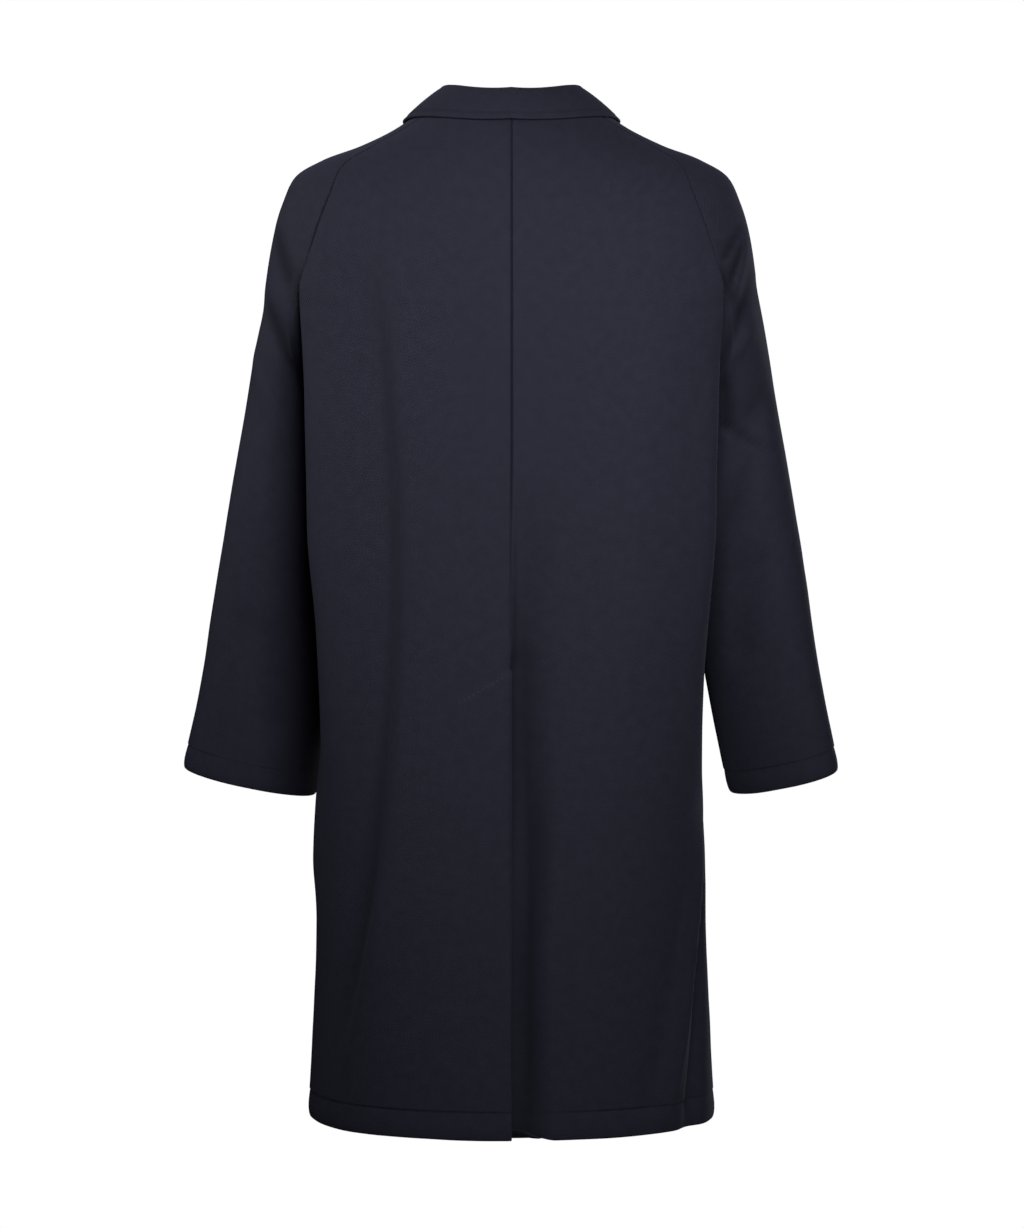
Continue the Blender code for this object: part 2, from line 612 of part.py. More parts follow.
def make_collar():
    """The collar as one folded sheet round the neck, open at the centre front."""
    reach = 1.0 - COLLAR_OPENING
    sections = [collar_section(turn) for turn in between(-reach, reach, 2 * COLLAR_CELLS)]
    panel = Panel("collar", np.array(sections).transpose(1, 0, 2))
    panel.normals = unit(panel.own_normals())
    return panel


def make_material(name, colour, roughness):
    material = bpy.data.materials.new(name)
    material.use_nodes = True
    shader = material.node_tree.nodes["Principled BSDF"]
    shader.inputs["Base Color"].default_value = colour
    shader.inputs["Roughness"].default_value = roughness
    shader.inputs["Metallic"].default_value = 0.0
    return material


def add_object(name, mesh, material):
    mesh.materials.append(material)
    mesh.shade_smooth()
    mesh.set_sharp_from_angle(angle=SHARP_EDGE)
    thing = bpy.data.objects.new(name, mesh)
    bpy.context.scene.collection.objects.link(thing)
    return thing


def add_wall(panel, outer, inner, material):
    """Closed wall between a panel's outer and inner points."""
    count = len(outer)
    faces = panel.cells.tolist() + (count + panel.cells[:, ::-1]).tolist()
    faces += [(b, a, count + a, count + b) for a, b in panel.edges()]
    mesh = bpy.data.meshes.new(panel.name)
    mesh.from_pydata(np.concatenate([outer, inner]).tolist(), [], faces)
    mesh.update()
    return add_object(panel.name, mesh, material)


def front_point(panel, z):
    """Point and outward normal on the left front's centre line at a height."""
    rows = panel.index[:, -1 - LAP_CELLS]
    fall = -panel.points[rows, 2]
    place = np.array([np.interp(-z, fall, panel.points[rows, k]) for k in range(3)])
    normal = np.array([np.interp(-z, fall, panel.normals[rows, k]) for k in range(3)])
    return place, unit(normal)


def add_button(name, place, normal, material):
    """A turned button with a raised rim, lying just clear of the cloth."""
    outline = (
        (0.00, 0.00), (0.80, 0.00), (0.97, 0.30), (1.00, 0.55), (0.94, 0.90),
        (0.84, 1.00), (0.72, 0.88), (0.60, 0.72), (0.00, 0.66),
    )
    shape = bmesh.new()
    line = [shape.verts.new((r * BUTTON_RADIUS, 0.0, h * BUTTON_THICKNESS)) for r, h in outline]
    edges = [shape.edges.new(pair) for pair in zip(line[:-1], line[1:])]
    around = {"cent": (0, 0, 0), "axis": (0, 0, 1), "angle": math.tau, "steps": BUTTON_SIDES}
    bmesh.ops.spin(shape, geom=line + edges, use_merge=True, **around)
    bmesh.ops.remove_doubles(shape, verts=shape.verts, dist=1e-6)
    bmesh.ops.recalc_face_normals(shape, faces=shape.faces)
    mesh = bpy.data.meshes.new(name)
    shape.to_mesh(mesh)
    shape.free()
    thing = add_object(name, mesh, material)
    thing.rotation_mode = "QUATERNION"
    thing.rotation_quaternion = Vector(normal).to_track_quat("Z", "Y")
    thing.location = place + normal * 2 * SEAM_GAP


def main():
    for thing in list(bpy.data.objects):
        bpy.data.objects.remove(thing)
    wool = make_material("navy_wool", NAVY, WOOL_ROUGHNESS)
    horn = make_material("dark_horn", HORN, HORN_ROUGHNESS)

    left_front = make_front(1)
    panels = [make_back(1), make_back(-1), left_front, make_front(-1)]
    panels += [make_sleeve(side, front) for side in (1, -1) for front in (False, True)]
    share_normals(panels)
    for panel in panels:
        panel.turn_up_hem()
        for band in bands_of(panel):
            outer = seam_inset(band)
            add_wall(band, outer, outer - band.normals * band.inside[:, None], wool)

    collar = make_collar()
    half = collar.normals * COLLAR_CLOTH / 2
    add_wall(collar, collar.points + half, collar.points - half, wool)

    for k in range(BUTTON_COUNT):
        place, normal = front_point(left_front, BUTTON_TOP_Z - k * BUTTON_PITCH)
        add_button(f"button_{k + 1}", place, normal, horn)


main()
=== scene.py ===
# %% [markdown]
# # A raglan coat, worn and empty
#
# The object is a single-breasted coat of dark navy wool twill. It keeps the shape of a wearer, and
# nobody is inside. Its solids are already made, so this lesson only dresses them: thin cloth on the
# same form, with its creases, seams, stitches and buttons.
#
# The solids come in as a fixed frame. Everything is in metres: +Z is up, +X is the wearer's left, and the
# front faces -Y.

# %% Load the solids as the frame
import json
import math
from collections import namedtuple

import bmesh
import bpy
import numpy as np
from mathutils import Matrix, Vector, noise

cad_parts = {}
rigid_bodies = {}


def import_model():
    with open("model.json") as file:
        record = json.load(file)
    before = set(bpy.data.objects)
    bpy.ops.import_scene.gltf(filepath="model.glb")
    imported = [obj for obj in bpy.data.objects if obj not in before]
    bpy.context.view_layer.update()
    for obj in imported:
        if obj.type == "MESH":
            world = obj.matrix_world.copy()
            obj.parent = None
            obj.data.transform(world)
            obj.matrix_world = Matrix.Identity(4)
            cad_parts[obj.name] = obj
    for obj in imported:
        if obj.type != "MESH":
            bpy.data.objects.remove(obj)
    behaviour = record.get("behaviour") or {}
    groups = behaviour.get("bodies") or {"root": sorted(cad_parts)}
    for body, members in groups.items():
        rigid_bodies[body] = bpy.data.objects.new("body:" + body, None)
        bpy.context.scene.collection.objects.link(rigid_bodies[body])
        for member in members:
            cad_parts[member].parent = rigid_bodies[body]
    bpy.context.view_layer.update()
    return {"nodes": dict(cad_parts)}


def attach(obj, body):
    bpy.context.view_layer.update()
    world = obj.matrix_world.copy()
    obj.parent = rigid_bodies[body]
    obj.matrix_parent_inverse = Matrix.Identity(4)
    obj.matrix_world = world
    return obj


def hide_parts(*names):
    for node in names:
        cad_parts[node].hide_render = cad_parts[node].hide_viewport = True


for thing in list(bpy.data.objects):
    bpy.data.objects.remove(thing)
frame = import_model()
print("nodes:", ", ".join(sorted(frame["nodes"])))

# %% [markdown]
# ## Camera
#
# The coat is seen level from behind, at the middle of its height. A long lens keeps the shoulders and
# the hem at one scale, as in a shop picture. The frame is taller than wide, so the sensor's size counts
# along the height, and the lens follows from the height that has to fit at the coat's middle.

# %% Make the camera
VIEW_X, VIEW_DISTANCE, VIEW_Z = -0.0005, 3.0, -0.496
FRAME_HEIGHT = 1.228


def add_object(name, data):
    """A new object in the scene."""
    thing = bpy.data.objects.new(name, data)
    bpy.context.scene.collection.objects.link(thing)
    return thing


camera_data = bpy.data.cameras.new("camera")
camera_data.lens = camera_data.sensor_width * VIEW_DISTANCE / FRAME_HEIGHT
camera = add_object("camera", camera_data)
camera.location = (VIEW_X, VIEW_DISTANCE, VIEW_Z)
camera.rotation_euler = (math.radians(90.0), 0.0, math.radians(180.0))
bpy.context.scene.camera = camera
print(f"lens {camera_data.lens:.1f} mm")

# %% [markdown]
# ## Studio
#
# Dark wool shows its folds only when the light has a direction. The key softbox hangs at the height of
# the collar, nearly in front of the coat's back and a little to the right, so the shoulders are brightest,
# the hem is dim, and the steep sides of folds turn dark. A weak and narrow one far out on the wearer's
# left brings out the left sleeve. A third, beyond the coat, draws a thin bright rim on the right.

# %% Set up the lights
KEY_POWER, SIDE_POWER, RIM_POWER = 15.2, 1.7, 5.0
KEY_SPREAD, SIDE_SPREAD, RIM_SPREAD = 150.0, 55.0, 180.0


def softbox(name, place, target, size, power, spread):
    """A rectangular light that faces its target and is not seen itself."""
    data = bpy.data.lights.new(name, "AREA")
    data.shape = "RECTANGLE"
    data.size, data.size_y = size
    data.energy = power
    data.spread = math.radians(spread)
    light = add_object(name, data)
    light.location = place
    light.rotation_euler = (Vector(target) - Vector(place)).to_track_quat("-Z", "Y").to_euler()
    light.visible_camera = False


softbox("key", (-0.24, 1.25, 0.05), (0.0, 0.0, -0.13), (0.7, 0.7), KEY_POWER, KEY_SPREAD)
softbox("side", (1.6, 0.15, 0.3), (0.25, 0.0, -0.14), (0.4, 0.4), SIDE_POWER, SIDE_SPREAD)
softbox("rim", (-1.4, -1.9, -0.4), (-0.1, 0.0, -0.6), (0.6, 1.2), RIM_POWER, RIM_SPREAD)

# %% [markdown]
# Node trees are built by small helpers. One adds a node with its inputs and settings; the others add the
# few nodes that a sum, a wave, a noise or a blend of colours takes. They make a tree readable as a list
# of sentences. The first tree is the backdrop's. It is white for the eye, while the light that it gives
# is kept very low, or the folds would be washed out.


# %% Helpers for node trees
def set_inputs(tree, node, inputs):
    """Fills a node's inputs, each with a value or with another node's output."""
    for name, value in inputs.items():
        if isinstance(value, bpy.types.NodeSocket):
            tree.links.new(value, node.inputs[name])
        else:
            node.inputs[name].default_value = value


def add_node(tree, kind, inputs=None, **settings):
    node = tree.nodes.new(kind)
    for name, value in settings.items():
        setattr(node, name, value)
    set_inputs(tree, node, inputs or {})
    return node


def calculate(tree, operation, first, second=0.0):
    return add_node(tree, "ShaderNodeMath", {0: first, 1: second}, operation=operation).outputs[0]


def scaled(tree, value, factor, base):
    """A value times a factor, added to a base."""
    return calculate(tree, "ADD", calculate(tree, "MULTIPLY", value, factor), base)


def wave(tree, distance, pitch):
    """A sine wave along a distance, from -1 to 1."""
    turns = calculate(tree, "DIVIDE", distance, pitch)
    return calculate(tree, "SINE", calculate(tree, "MULTIPLY", turns, math.tau))


def speckle(tree, place, scale, **inputs):
    """Noise from 0 to 1; other inputs of its node are given by their names."""
    return add_node(tree, "ShaderNodeTexNoise", {"Vector": place, "Scale": scale, **inputs}).outputs[0]


def stretch(tree, place, factors):
    return add_node(tree, "ShaderNodeVectorMath", {0: place, 1: factors}, operation="MULTIPLY").outputs[0]


def split(tree, place):
    return add_node(tree, "ShaderNodeSeparateXYZ", {0: place}).outputs


def blend(tree, share, first, second):
    """Colour between two colours."""
    return add_node(tree, "ShaderNodeMix", {0: share, 6: first, 7: second}, data_type="RGBA").outputs[2]


print("node helpers ready")

# %% Backdrop
BACKDROP_LIGHT, BACKDROP_SEEN = 0.01, 1.0
WHITE = (1.0, 1.0, 1.0, 1.0)
world = bpy.data.worlds.new("white_studio")
world.use_nodes = True
bpy.context.scene.world = world
bpy.context.scene.view_settings.view_transform = "Standard"
sky = world.node_tree
sky.nodes.clear()
by_camera = add_node(sky, "ShaderNodeLightPath").outputs["Is Camera Ray"]
low, full = (
    add_node(sky, "ShaderNodeBackground", {"Color": WHITE, "Strength": strength}).outputs[0]
    for strength in (BACKDROP_LIGHT, BACKDROP_SEEN)
)
chosen = add_node(sky, "ShaderNodeMixShader", {0: by_camera, 1: low, 2: full})
add_node(sky, "ShaderNodeOutputWorld", {"Surface": chosen.outputs[0]})
print("world nodes:", len(sky.nodes))

# %% [markdown]
# ## Weave and nap
#
# The cloth is a twill: its yarns pass over two and under two, one step further in each row, so that
# fine ribs run across it on the slant. Then it is brushed, and short fibres stand up over the ribs.
# Both could be modelled yarn by yarn, at the cost of millions of faces. Here they are shader groups
# that read a map of the flat cloth in metres, so a rib has the same width on every piece.

# %% Group: twill ribs
RIB_SLOPE, RIB_SHARE, YARN_SHARE = 0.8, 0.38, 0.12


def new_group(name, numbers, outputs):
    """An empty shader group that takes a place and some numbers: its tree, inputs and end node."""
    tree = bpy.data.node_groups.new(name, "ShaderNodeTree")
    tree.interface.new_socket("Place", in_out="INPUT", socket_type="NodeSocketVector")
    for label in numbers:
        tree.interface.new_socket(label, in_out="INPUT", socket_type="NodeSocketFloat")
    for label in outputs:
        tree.interface.new_socket(label, in_out="OUTPUT", socket_type="NodeSocketFloat")
    return tree, tree.nodes.new("NodeGroupInput").outputs, tree.nodes.new("NodeGroupOutput")


def twill_group():
    """Height of slanted ribs and of the yarns in them, from 0 to 1."""
    tree, given, end = new_group("twill_ribs", ("Rib Pitch", "Yarn Pitch"), ("Height",))
    place = split(tree, given["Place"])
    rib = wave(tree, scaled(tree, place[1], RIB_SLOPE, place[0]), given["Rib Pitch"])
    yarn = wave(tree, place[1], given["Yarn Pitch"])
    height = scaled(tree, yarn, YARN_SHARE, calculate(tree, "MULTIPLY", rib, RIB_SHARE))
    set_inputs(tree, end, {"Height": calculate(tree, "ADD", height, 0.5)})
    return tree


TWILL = twill_group()
print(TWILL.name, len(TWILL.nodes), "nodes")

# %% Group: brushed nap
FIBRE_COMB, CLOUD_SCALE, NAP_DETAIL = (1.0, 0.45, 1.0), 90.0, 3.0


def nap_group():
    """Combed fibres, and slow clouds of tone."""
    tree, given, end = new_group("brushed_nap", ("Fibre Scale",), ("Fuzz", "Cloud"))
    combed = stretch(tree, given["Place"], FIBRE_COMB)
    fibres = speckle(tree, combed, given["Fibre Scale"], Detail=NAP_DETAIL, Roughness=0.6)
    clouds = speckle(tree, given["Place"], CLOUD_SCALE, Detail=NAP_DETAIL)
    set_inputs(tree, end, {"Fuzz": fibres, "Cloud": clouds})
    return tree


NAP = nap_group()
print(NAP.name, len(NAP.nodes), "nodes")

# %% [markdown]
# ## Finishes
#
# The wool takes its colour from two navy tones: rib tops and brushed fibres are a little lighter than
# the ground between them. A second map darkens the colour: along seam lines, and as painted shade in
# deep creases, under the arms and beside the vent. A sheen on the shader lightens the cloth where it
# turns away, as nap does. The thread is the same navy, twisted, and a paler one serves for the stitches
# that show at the vent. The buttons are dark horn with faint streaks and a polish.

# %% Material: navy wool
RIB_PITCH, YARN_PITCH, FIBRE_SCALE = 0.0024, 0.0016, 700.0
RIB_LIGHT, FUZZ_LIGHT, CLOUD_LIGHT, FUZZ_HEIGHT = 0.46, 0.27, 0.27, 0.8
WOOL_DARK, WOOL_LIGHT = (0.0045, 0.0045, 0.0074, 1.0), (0.0288, 0.0287, 0.0468, 1.0)
WOOL_SEAM_LINES_AND_SHADE = (0.0015, 0.0015, 0.0025, 1.0)


def stored(tree, name):
    """A map kept on the mesh: where a point lies on the flat cloth, or its darkening by seam lines and
    painted shade.
    """
    return add_node(tree, "ShaderNodeUVMap", uv_map=name).outputs[0]


def place_group(tree, group, inputs):
    return add_node(tree, "ShaderNodeGroup", inputs, node_tree=group).outputs


def bumps(tree, height, strength, distance):
    inputs = {"Height": height, "Strength": strength, "Distance": distance}
    return add_node(tree, "ShaderNodeBump", inputs).outputs[0]


def new_material(name):
    material = bpy.data.materials.new(name)
    material.use_nodes = True
    return material, material.node_tree, material.node_tree.nodes["Principled BSDF"]


def navy_wool():
    material, tree, shader = new_material("navy_wool")
    place = stored(tree, "cloth")
    weave = place_group(tree, TWILL, {"Place": place, "Rib Pitch": RIB_PITCH, "Yarn Pitch": YARN_PITCH})
    ribs = weave["Height"]
    nap = place_group(tree, NAP, {"Place": place, "Fibre Scale": FIBRE_SCALE})
    light = scaled(tree, nap["Fuzz"], FUZZ_LIGHT, calculate(tree, "MULTIPLY", ribs, RIB_LIGHT))
    colour = blend(tree, scaled(tree, nap["Cloud"], CLOUD_LIGHT, light), WOOL_DARK, WOOL_LIGHT)
    # The second map darkens the colour along seam lines, and paints shade into creases, armpits and the vent.
    looks = {
        "Base Color": blend(tree, split(tree, stored(tree, "seam_lines_and_shade"))[0], colour, WOOL_SEAM_LINES_AND_SHADE),
        "Roughness": scaled(tree, nap["Fuzz"], 0.22, 0.70),
        "Normal": bumps(tree, scaled(tree, nap["Fuzz"], FUZZ_HEIGHT, ribs), 0.55, 0.0002),
        "Sheen Weight": 0.05,
        "Sheen Roughness": 0.45,
        "Sheen Tint": (0.55, 0.60, 0.85, 1.0),
        "Specular IOR Level": 0.06,
    }
    set_inputs(tree, shader, looks)
    return material


WOOL = navy_wool()
print(WOOL.name, len(WOOL.node_tree.nodes), "nodes")

# %% Material: navy thread
PLY_SLOPE, PLY_PITCH = 0.7, 0.0007


def plies_group():
    """Slanted plies of a thread; Place runs along the thread and round it, in metres."""
    tree, given, end = new_group("twisted_plies", ("Ply Pitch",), ("Ply",))
    place = split(tree, given["Place"])
    ply = wave(tree, scaled(tree, place[1], PLY_SLOPE, place[0]), given["Ply Pitch"])
    set_inputs(tree, end, {"Ply": scaled(tree, ply, 0.5, 0.5)})
    return tree


PLIES = plies_group()


def navy_thread(name, dark, light):
    material, tree, shader = new_material(name)
    ply = place_group(tree, PLIES, {"Place": stored(tree, "cloth"), "Ply Pitch": PLY_PITCH})["Ply"]
    looks = {
        "Base Color": blend(tree, ply, dark, light),
        "Roughness": scaled(tree, ply, -0.15, 0.62),
        "Normal": bumps(tree, ply, 0.5, 0.0001),
        "Specular IOR Level": 0.10,
    }
    set_inputs(tree, shader, looks)
    return material


THREAD = navy_thread("navy_thread", (0.009, 0.009, 0.015, 1.0), (0.022, 0.022, 0.034, 1.0))
PICK_THREAD = navy_thread("pick_thread", (0.020, 0.020, 0.030, 1.0), (0.060, 0.060, 0.080, 1.0))
print(THREAD.name, len(THREAD.node_tree.nodes), "nodes, and a paler one")

# %% Material: dark horn
HORN_GRAIN, HORN_SCALE = (1.0, 3.5, 1.0), 90.0
HORN_TONES = ((0.38, (0.006, 0.006, 0.008, 1.0)), (0.72, (0.034, 0.027, 0.024, 1.0)))


def dark_horn():
    material, tree, shader = new_material("dark_horn")
    place = stretch(tree, add_node(tree, "ShaderNodeTexCoord").outputs["Object"], HORN_GRAIN)
    streaks = speckle(tree, place, HORN_SCALE, Detail=5.0, Distortion=1.2)
    ramp = add_node(tree, "ShaderNodeValToRGB", {0: streaks})
    for k, (position, colour) in enumerate(HORN_TONES):
        ramp.color_ramp.elements[k].position = position
        ramp.color_ramp.elements[k].color = colour
    looks = {
        "Base Color": ramp.outputs[0],
        "Roughness": scaled(tree, streaks, 0.22, 0.24),
        "Normal": bumps(tree, streaks, 0.12, 0.0003),
        "Coat Weight": 0.2,
    }
    set_inputs(tree, shader, looks)
    return material


HORN = dark_horn()
print(HORN.name, len(HORN.node_tree.nodes), "nodes")

# %% Floor
FLOOR_Z, FLOOR_RADIUS, FLOOR_SIDES, FLOOR_GRAIN = -1.45, 1.6, 96, 3.0
FLOOR_DARK, FLOOR_LIGHT = (0.80, 0.80, 0.79, 1.0), (0.86, 0.86, 0.85, 1.0)


def to_mesh(name, shape):
    """Turns a finished bmesh into a mesh and frees it."""
    mesh = bpy.data.meshes.new(name)
    shape.to_mesh(mesh)
    shape.free()
    return mesh


def pale_floor():
    material, tree, shader = new_material("pale_floor")
    place = add_node(tree, "ShaderNodeTexCoord").outputs["Object"]
    grain = speckle(tree, place, FLOOR_GRAIN, Detail=6.0)
    set_inputs(tree, shader, {"Base Color": blend(tree, grain, FLOOR_DARK, FLOOR_LIGHT), "Roughness": 0.7})
    return material


floor_shape = bmesh.new()
bmesh.ops.create_circle(floor_shape, cap_ends=True, segments=FLOOR_SIDES, radius=FLOOR_RADIUS)
floor = add_object("floor", to_mesh("floor", floor_shape))
floor.data.materials.append(pale_floor())
floor.location.z = FLOOR_Z
print("floor", FLOOR_RADIUS * 2, "m across")

# %% [markdown]
# ## The cut
#
# A raglan coat has no seam round the shoulder. Its sleeves run up to the neckline, so back, fronts and
# sleeves share one smooth form there. That form is drawn as rings: yoke rings from the neckline out
# over the shoulders to the armpits, then torso rings down to the hem and sleeve rings down to the cuffs.
# These are the sizes of the solids, so the cloth lies exactly where they are.

# %% Tables of the form
HEM_Z, HEM_BAND, CUFF_BAND = -0.994, 0.027, 0.025
HEM_ROLL_HEIGHT, HEM_ROLL_IN = 0.014, 0.003
SIDE_SEAM = 95.0
UNDERARM = (0.183, -0.012, -0.265)
PARTING, PARTING_CELLS = 0.3, 3
LAP, LAP_LIFT, LAP_FADE = 0.04, 0.0021, 0.05
VENT_TOP_Z, VENT_UNDERLAP, VENT_SLOPE, VENT_SETTLES = -0.551, 0.052, 0.57, 0.12
VENT_DROP, VENT_EASE, VENT_FADE = 0.0046, 0.028, 0.042
VENT_SINK, VENT_SINK_RUN, VENT_HANG = 0.015, 0.26, 0.0065
BACK_CELLS, FRONT_CELLS, CAP_CELLS = 12, 9, 5

YokeRing = namedtuple(
    "YokeRing", "half_width side_y side_z back_y back_z front_y front_z square seam_back seam_front"
)
YOKE = (
    YokeRing(0.0800, -0.004, 0.0160, 0.078, -0.006, -0.080, -0.070, 2.00, 58.0, 54.0),
    YokeRing(0.1140, -0.004, -0.0102, 0.099, -0.028, -0.098, -0.092, 2.00, 65.0, 59.0),
    YokeRing(0.1510, -0.003, -0.0295, 0.117, -0.056, -0.116, -0.116, 2.10, 67.5, 62.0),
    YokeRing(0.1900, -0.002, -0.0445, 0.131, -0.092, -0.129, -0.143, 2.20, 66.5, 64.0),
    YokeRing(0.2155, -0.002, -0.0605, 0.140, -0.127, -0.139, -0.167, 2.25, 63.0, 65.0),
    YokeRing(0.2285, -0.003, -0.0870, 0.146, -0.160, -0.146, -0.188, 2.30, 63.0, 66.0),
    YokeRing(0.2440, -0.006, -0.1570, 0.149, -0.202, -0.153, -0.222, 2.30, 64.6, 67.0),
)
TorsoRing = namedtuple("TorsoRing", "z half_width back_y front_y square press")
TORSO = (
    TorsoRing(-0.330, 0.2320, 0.152, -0.158, 2.5, 0.064),
    TorsoRing(-0.450, 0.2265, 0.152, -0.158, 2.5, 0.060),
    TorsoRing(-0.580, 0.2105, 0.154, -0.158, 2.4, 0.030),
    TorsoRing(-0.700, 0.1965, 0.157, -0.159, 2.3, 0.004),
    TorsoRing(-0.840, 0.1950, 0.161, -0.162, 2.2, 0.0),
    TorsoRing(HEM_Z, 0.2035, 0.168, -0.166, 2.2, 0.0),
)
PRESS_STARTS, PRESS_FULL, PRESS_HOLDS, PRESS_ENDS = 60.0, 88.0, 98.0, 126.0
TORSO_CORNER_BACK, TORSO_CORNER_FRONT, SLEEVE_CORNER = 66.5, 68.0, 105.0
SleeveRing = namedtuple(
    "SleeveRing", "outer_x inner_left inner_right mid_y half_depth mid_z tilt lean skew"
)
SLEEVE = (
    SleeveRing(0.2655, 0.1830, 0.1830, -0.034, 0.070, -0.2970, 30.0, 0.0, 8.0),
    SleeveRing(0.2820, 0.1810, 0.1810, -0.040, 0.065, -0.3920, 23.0, 3.0, 15.0),
    SleeveRing(0.2965, 0.1840, 0.1880, -0.045, 0.058, -0.4780, 17.0, 5.0, 21.0),
    SleeveRing(0.3110, 0.1905, 0.2025, -0.052, 0.051, -0.5680, 14.5, 6.0, 25.0),
    SleeveRing(0.3315, 0.1995, 0.2225, -0.061, 0.046, -0.6655, 13.5, 7.0, 27.0),
)
SLEEVE_SQUARE = 2.15
print(len(YOKE), "yoke rings,", len(TORSO), "torso rings,", len(SLEEVE), "sleeve rings")


# %% Rings
def ease(value):
    """Smooth step from 0 to 1."""
    t = np.clip(value, 0.0, 1.0)
    return t * t * (3.0 - 2.0 * t)


def unit(vectors):
    return vectors / np.linalg.norm(vectors, axis=-1, keepdims=True)


def oval(angle, half_width, side_y, back_y, front_y, square):
    """Points of a rounded oval, and how far each is towards the back or front line, 0 to 1."""
    sine, cosine = np.sin(angle), np.cos(angle)
    depth = np.where(cosine >= 0.0, back_y - side_y, side_y - front_y)
    radius = ((np.abs(sine) / half_width) ** square + (np.abs(cosine) / depth) ** square) ** (-1.0 / square)
    return radius * sine, side_y + radius * cosine, radius * np.abs(cosine) / depth


def yoke_ring(ring, angle):
    x, y, towards = oval(angle, ring.half_width, ring.side_y, ring.back_y, ring.front_y, ring.square)
    end_z = np.where(np.cos(angle) >= 0.0, ring.back_z, ring.front_z)
    return np.stack([x, y, ring.side_z + (end_z - ring.side_z) * towards**2], axis=-1)


def torso_ring(ring, angle):
    """One torso ring, with its sides pushed in by the hanging arms."""
    x, y, _ = oval(angle, ring.half_width, 0.0, ring.back_y, ring.front_y, ring.square)
    turn = np.abs(np.degrees(np.arctan2(np.sin(angle), np.cos(angle))))
    push = ring.press * ease((turn - PRESS_STARTS) / (PRESS_FULL - PRESS_STARTS))
    push = push * ease((PRESS_ENDS - turn) / (PRESS_ENDS - PRESS_HOLDS))
    return np.stack([x - push * np.sin(angle), y - push * np.cos(angle), np.full_like(x, ring.z)], axis=-1)


def sleeve_width(ring, side):
    inner_x = ring.inner_left if side > 0 else ring.inner_right
    return (ring.outer_x + inner_x) / 2, (ring.outer_x - inner_x) / 2


def sleeve_ring(ring, turn, side):
    """One sleeve ring; turn is 0 at the outer side and 90 degrees at the back."""
    middle_x, half_width = sleeve_width(ring, side)
    from_back = math.pi / 2 - turn
    out, back, _ = oval(from_back, half_width, 0.0, ring.half_depth, -ring.half_depth, SLEEVE_SQUARE)
    z = ring.mid_z + out * math.tan(math.radians(ring.tilt)) - back * math.tan(math.radians(ring.lean))
    y = ring.mid_y + back + out * math.tan(math.radians(ring.skew))
    return np.stack([side * (middle_x + out), y, z], axis=-1)


print("chest ring at the side:", torso_ring(TORSO[0], np.array([math.pi / 2]))[0].round(3))

# %% [markdown]
# ## From rings to cloth
#
# Smooth curves through the rings make the surface between them. Bridge Edge Loops could join the
# rings by hand; here a few lines of numpy do it, so that each row of points has a known place on the
# body. Columns crowd together beside seams and rows beside the hem, where the cloth turns sharply.


# %% Loft
def spline_speed(sections, start=None):
    """Length of each span between sections, and the direction of travel at each section."""
    steps = np.diff(sections, axis=0)
    length = np.maximum(np.linalg.norm(steps, axis=-1, keepdims=True), 1e-6)
    slope = steps / length
    before, after = length[:-1], length[1:]
    speed = np.empty_like(sections)
    speed[1:-1] = (slope[:-1] * after + slope[1:] * before) / (before + after)
    speed[0] = 1.5 * slope[0] - 0.5 * speed[1] if start is None else start
    speed[-1] = 1.5 * slope[-1] - 0.5 * speed[-2]
    return length, speed


def loft(sections, levels, start=None):
    """Rows at fractional section numbers, on smooth curves through the sections."""
    length, speed = spline_speed(sections, start)
    rows = []
    for level in levels:
        k = min(int(level), len(sections) - 2)
        t = level - k
        place = (1 + 2 * t) * (1 - t) ** 2 * sections[k] + t * t * (3 - 2 * t) * sections[k + 1]
        rows.append(place + length[k] * (t * (1 - t) ** 2 * speed[k] - t * t * (1 - t) * speed[k + 1]))
    return np.array(rows)


halfway = loft(np.array([(0.0, 0.0, 0.0), (1.0, 0.0, 0.0), (2.0, 1.0, 0.0)]), [0.5])[0]
print("halfway along the first span of a bent line:", halfway.round(3))

# %% Rows and columns
ROW_STEP, FINE_STEPS, SLEEVE_MARKS = 0.005, 40, 100
EDGE_STEPS = (0.0007, 0.0018, 0.0032)
CROWDED = np.array((0.09, 0.18, 0.29, 0.44, 0.68))
YOKE_LEVELS = np.linspace(0.0, 6.0, 61)
ARMPIT_ROW = len(YOKE_LEVELS) - 1


def shares(cells, crowd_end=True, crowd_start=True):
    """Places from 0 to 1 across a stretch of cloth, closer together beside a seam."""
    marks = [np.linspace(0.0, 1.0, cells + 1)]
    if crowd_start:
        marks.append(CROWDED / cells)
    if crowd_end:
        marks.append(1.0 - CROWDED / cells)
    return np.unique(np.concatenate(marks))


BACK_SHARES, FRONT_SHARES, CAP_SHARES = shares(56), shares(54), shares(30)
UNDERARM_SHARES = shares(22, crowd_start=False)
LAP_SHARES, VENT_SHARES = shares(8, crowd_start=False)[1:], shares(10, crowd_start=False)[1:]


def torso_levels():
    """Section numbers of the torso's rows: even steps, closer at the vent top, hem crease and hem."""
    heights = [YOKE[-1].back_z] + [ring.z for ring in TORSO]
    numbers = np.linspace(0, len(TORSO), FINE_STEPS * len(TORSO) + 1)
    fall = -loft(np.array([(0.0, 0.0, z) for z in heights]), numbers)[:, 2]
    caught = HEM_Z + HEM_BAND
    marks = list(np.arange(-YOKE[-1].back_z + ROW_STEP, -HEM_Z - ROW_STEP / 2, ROW_STEP))
    marks += [-VENT_TOP_Z, -HEM_Z] + [-HEM_Z - step for step in EDGE_STEPS]
    marks += [-caught + side * step for step in EDGE_STEPS[:2] for side in (-1, 1)]
    return np.interp(np.unique(np.round(marks, 5)), fall, numbers)


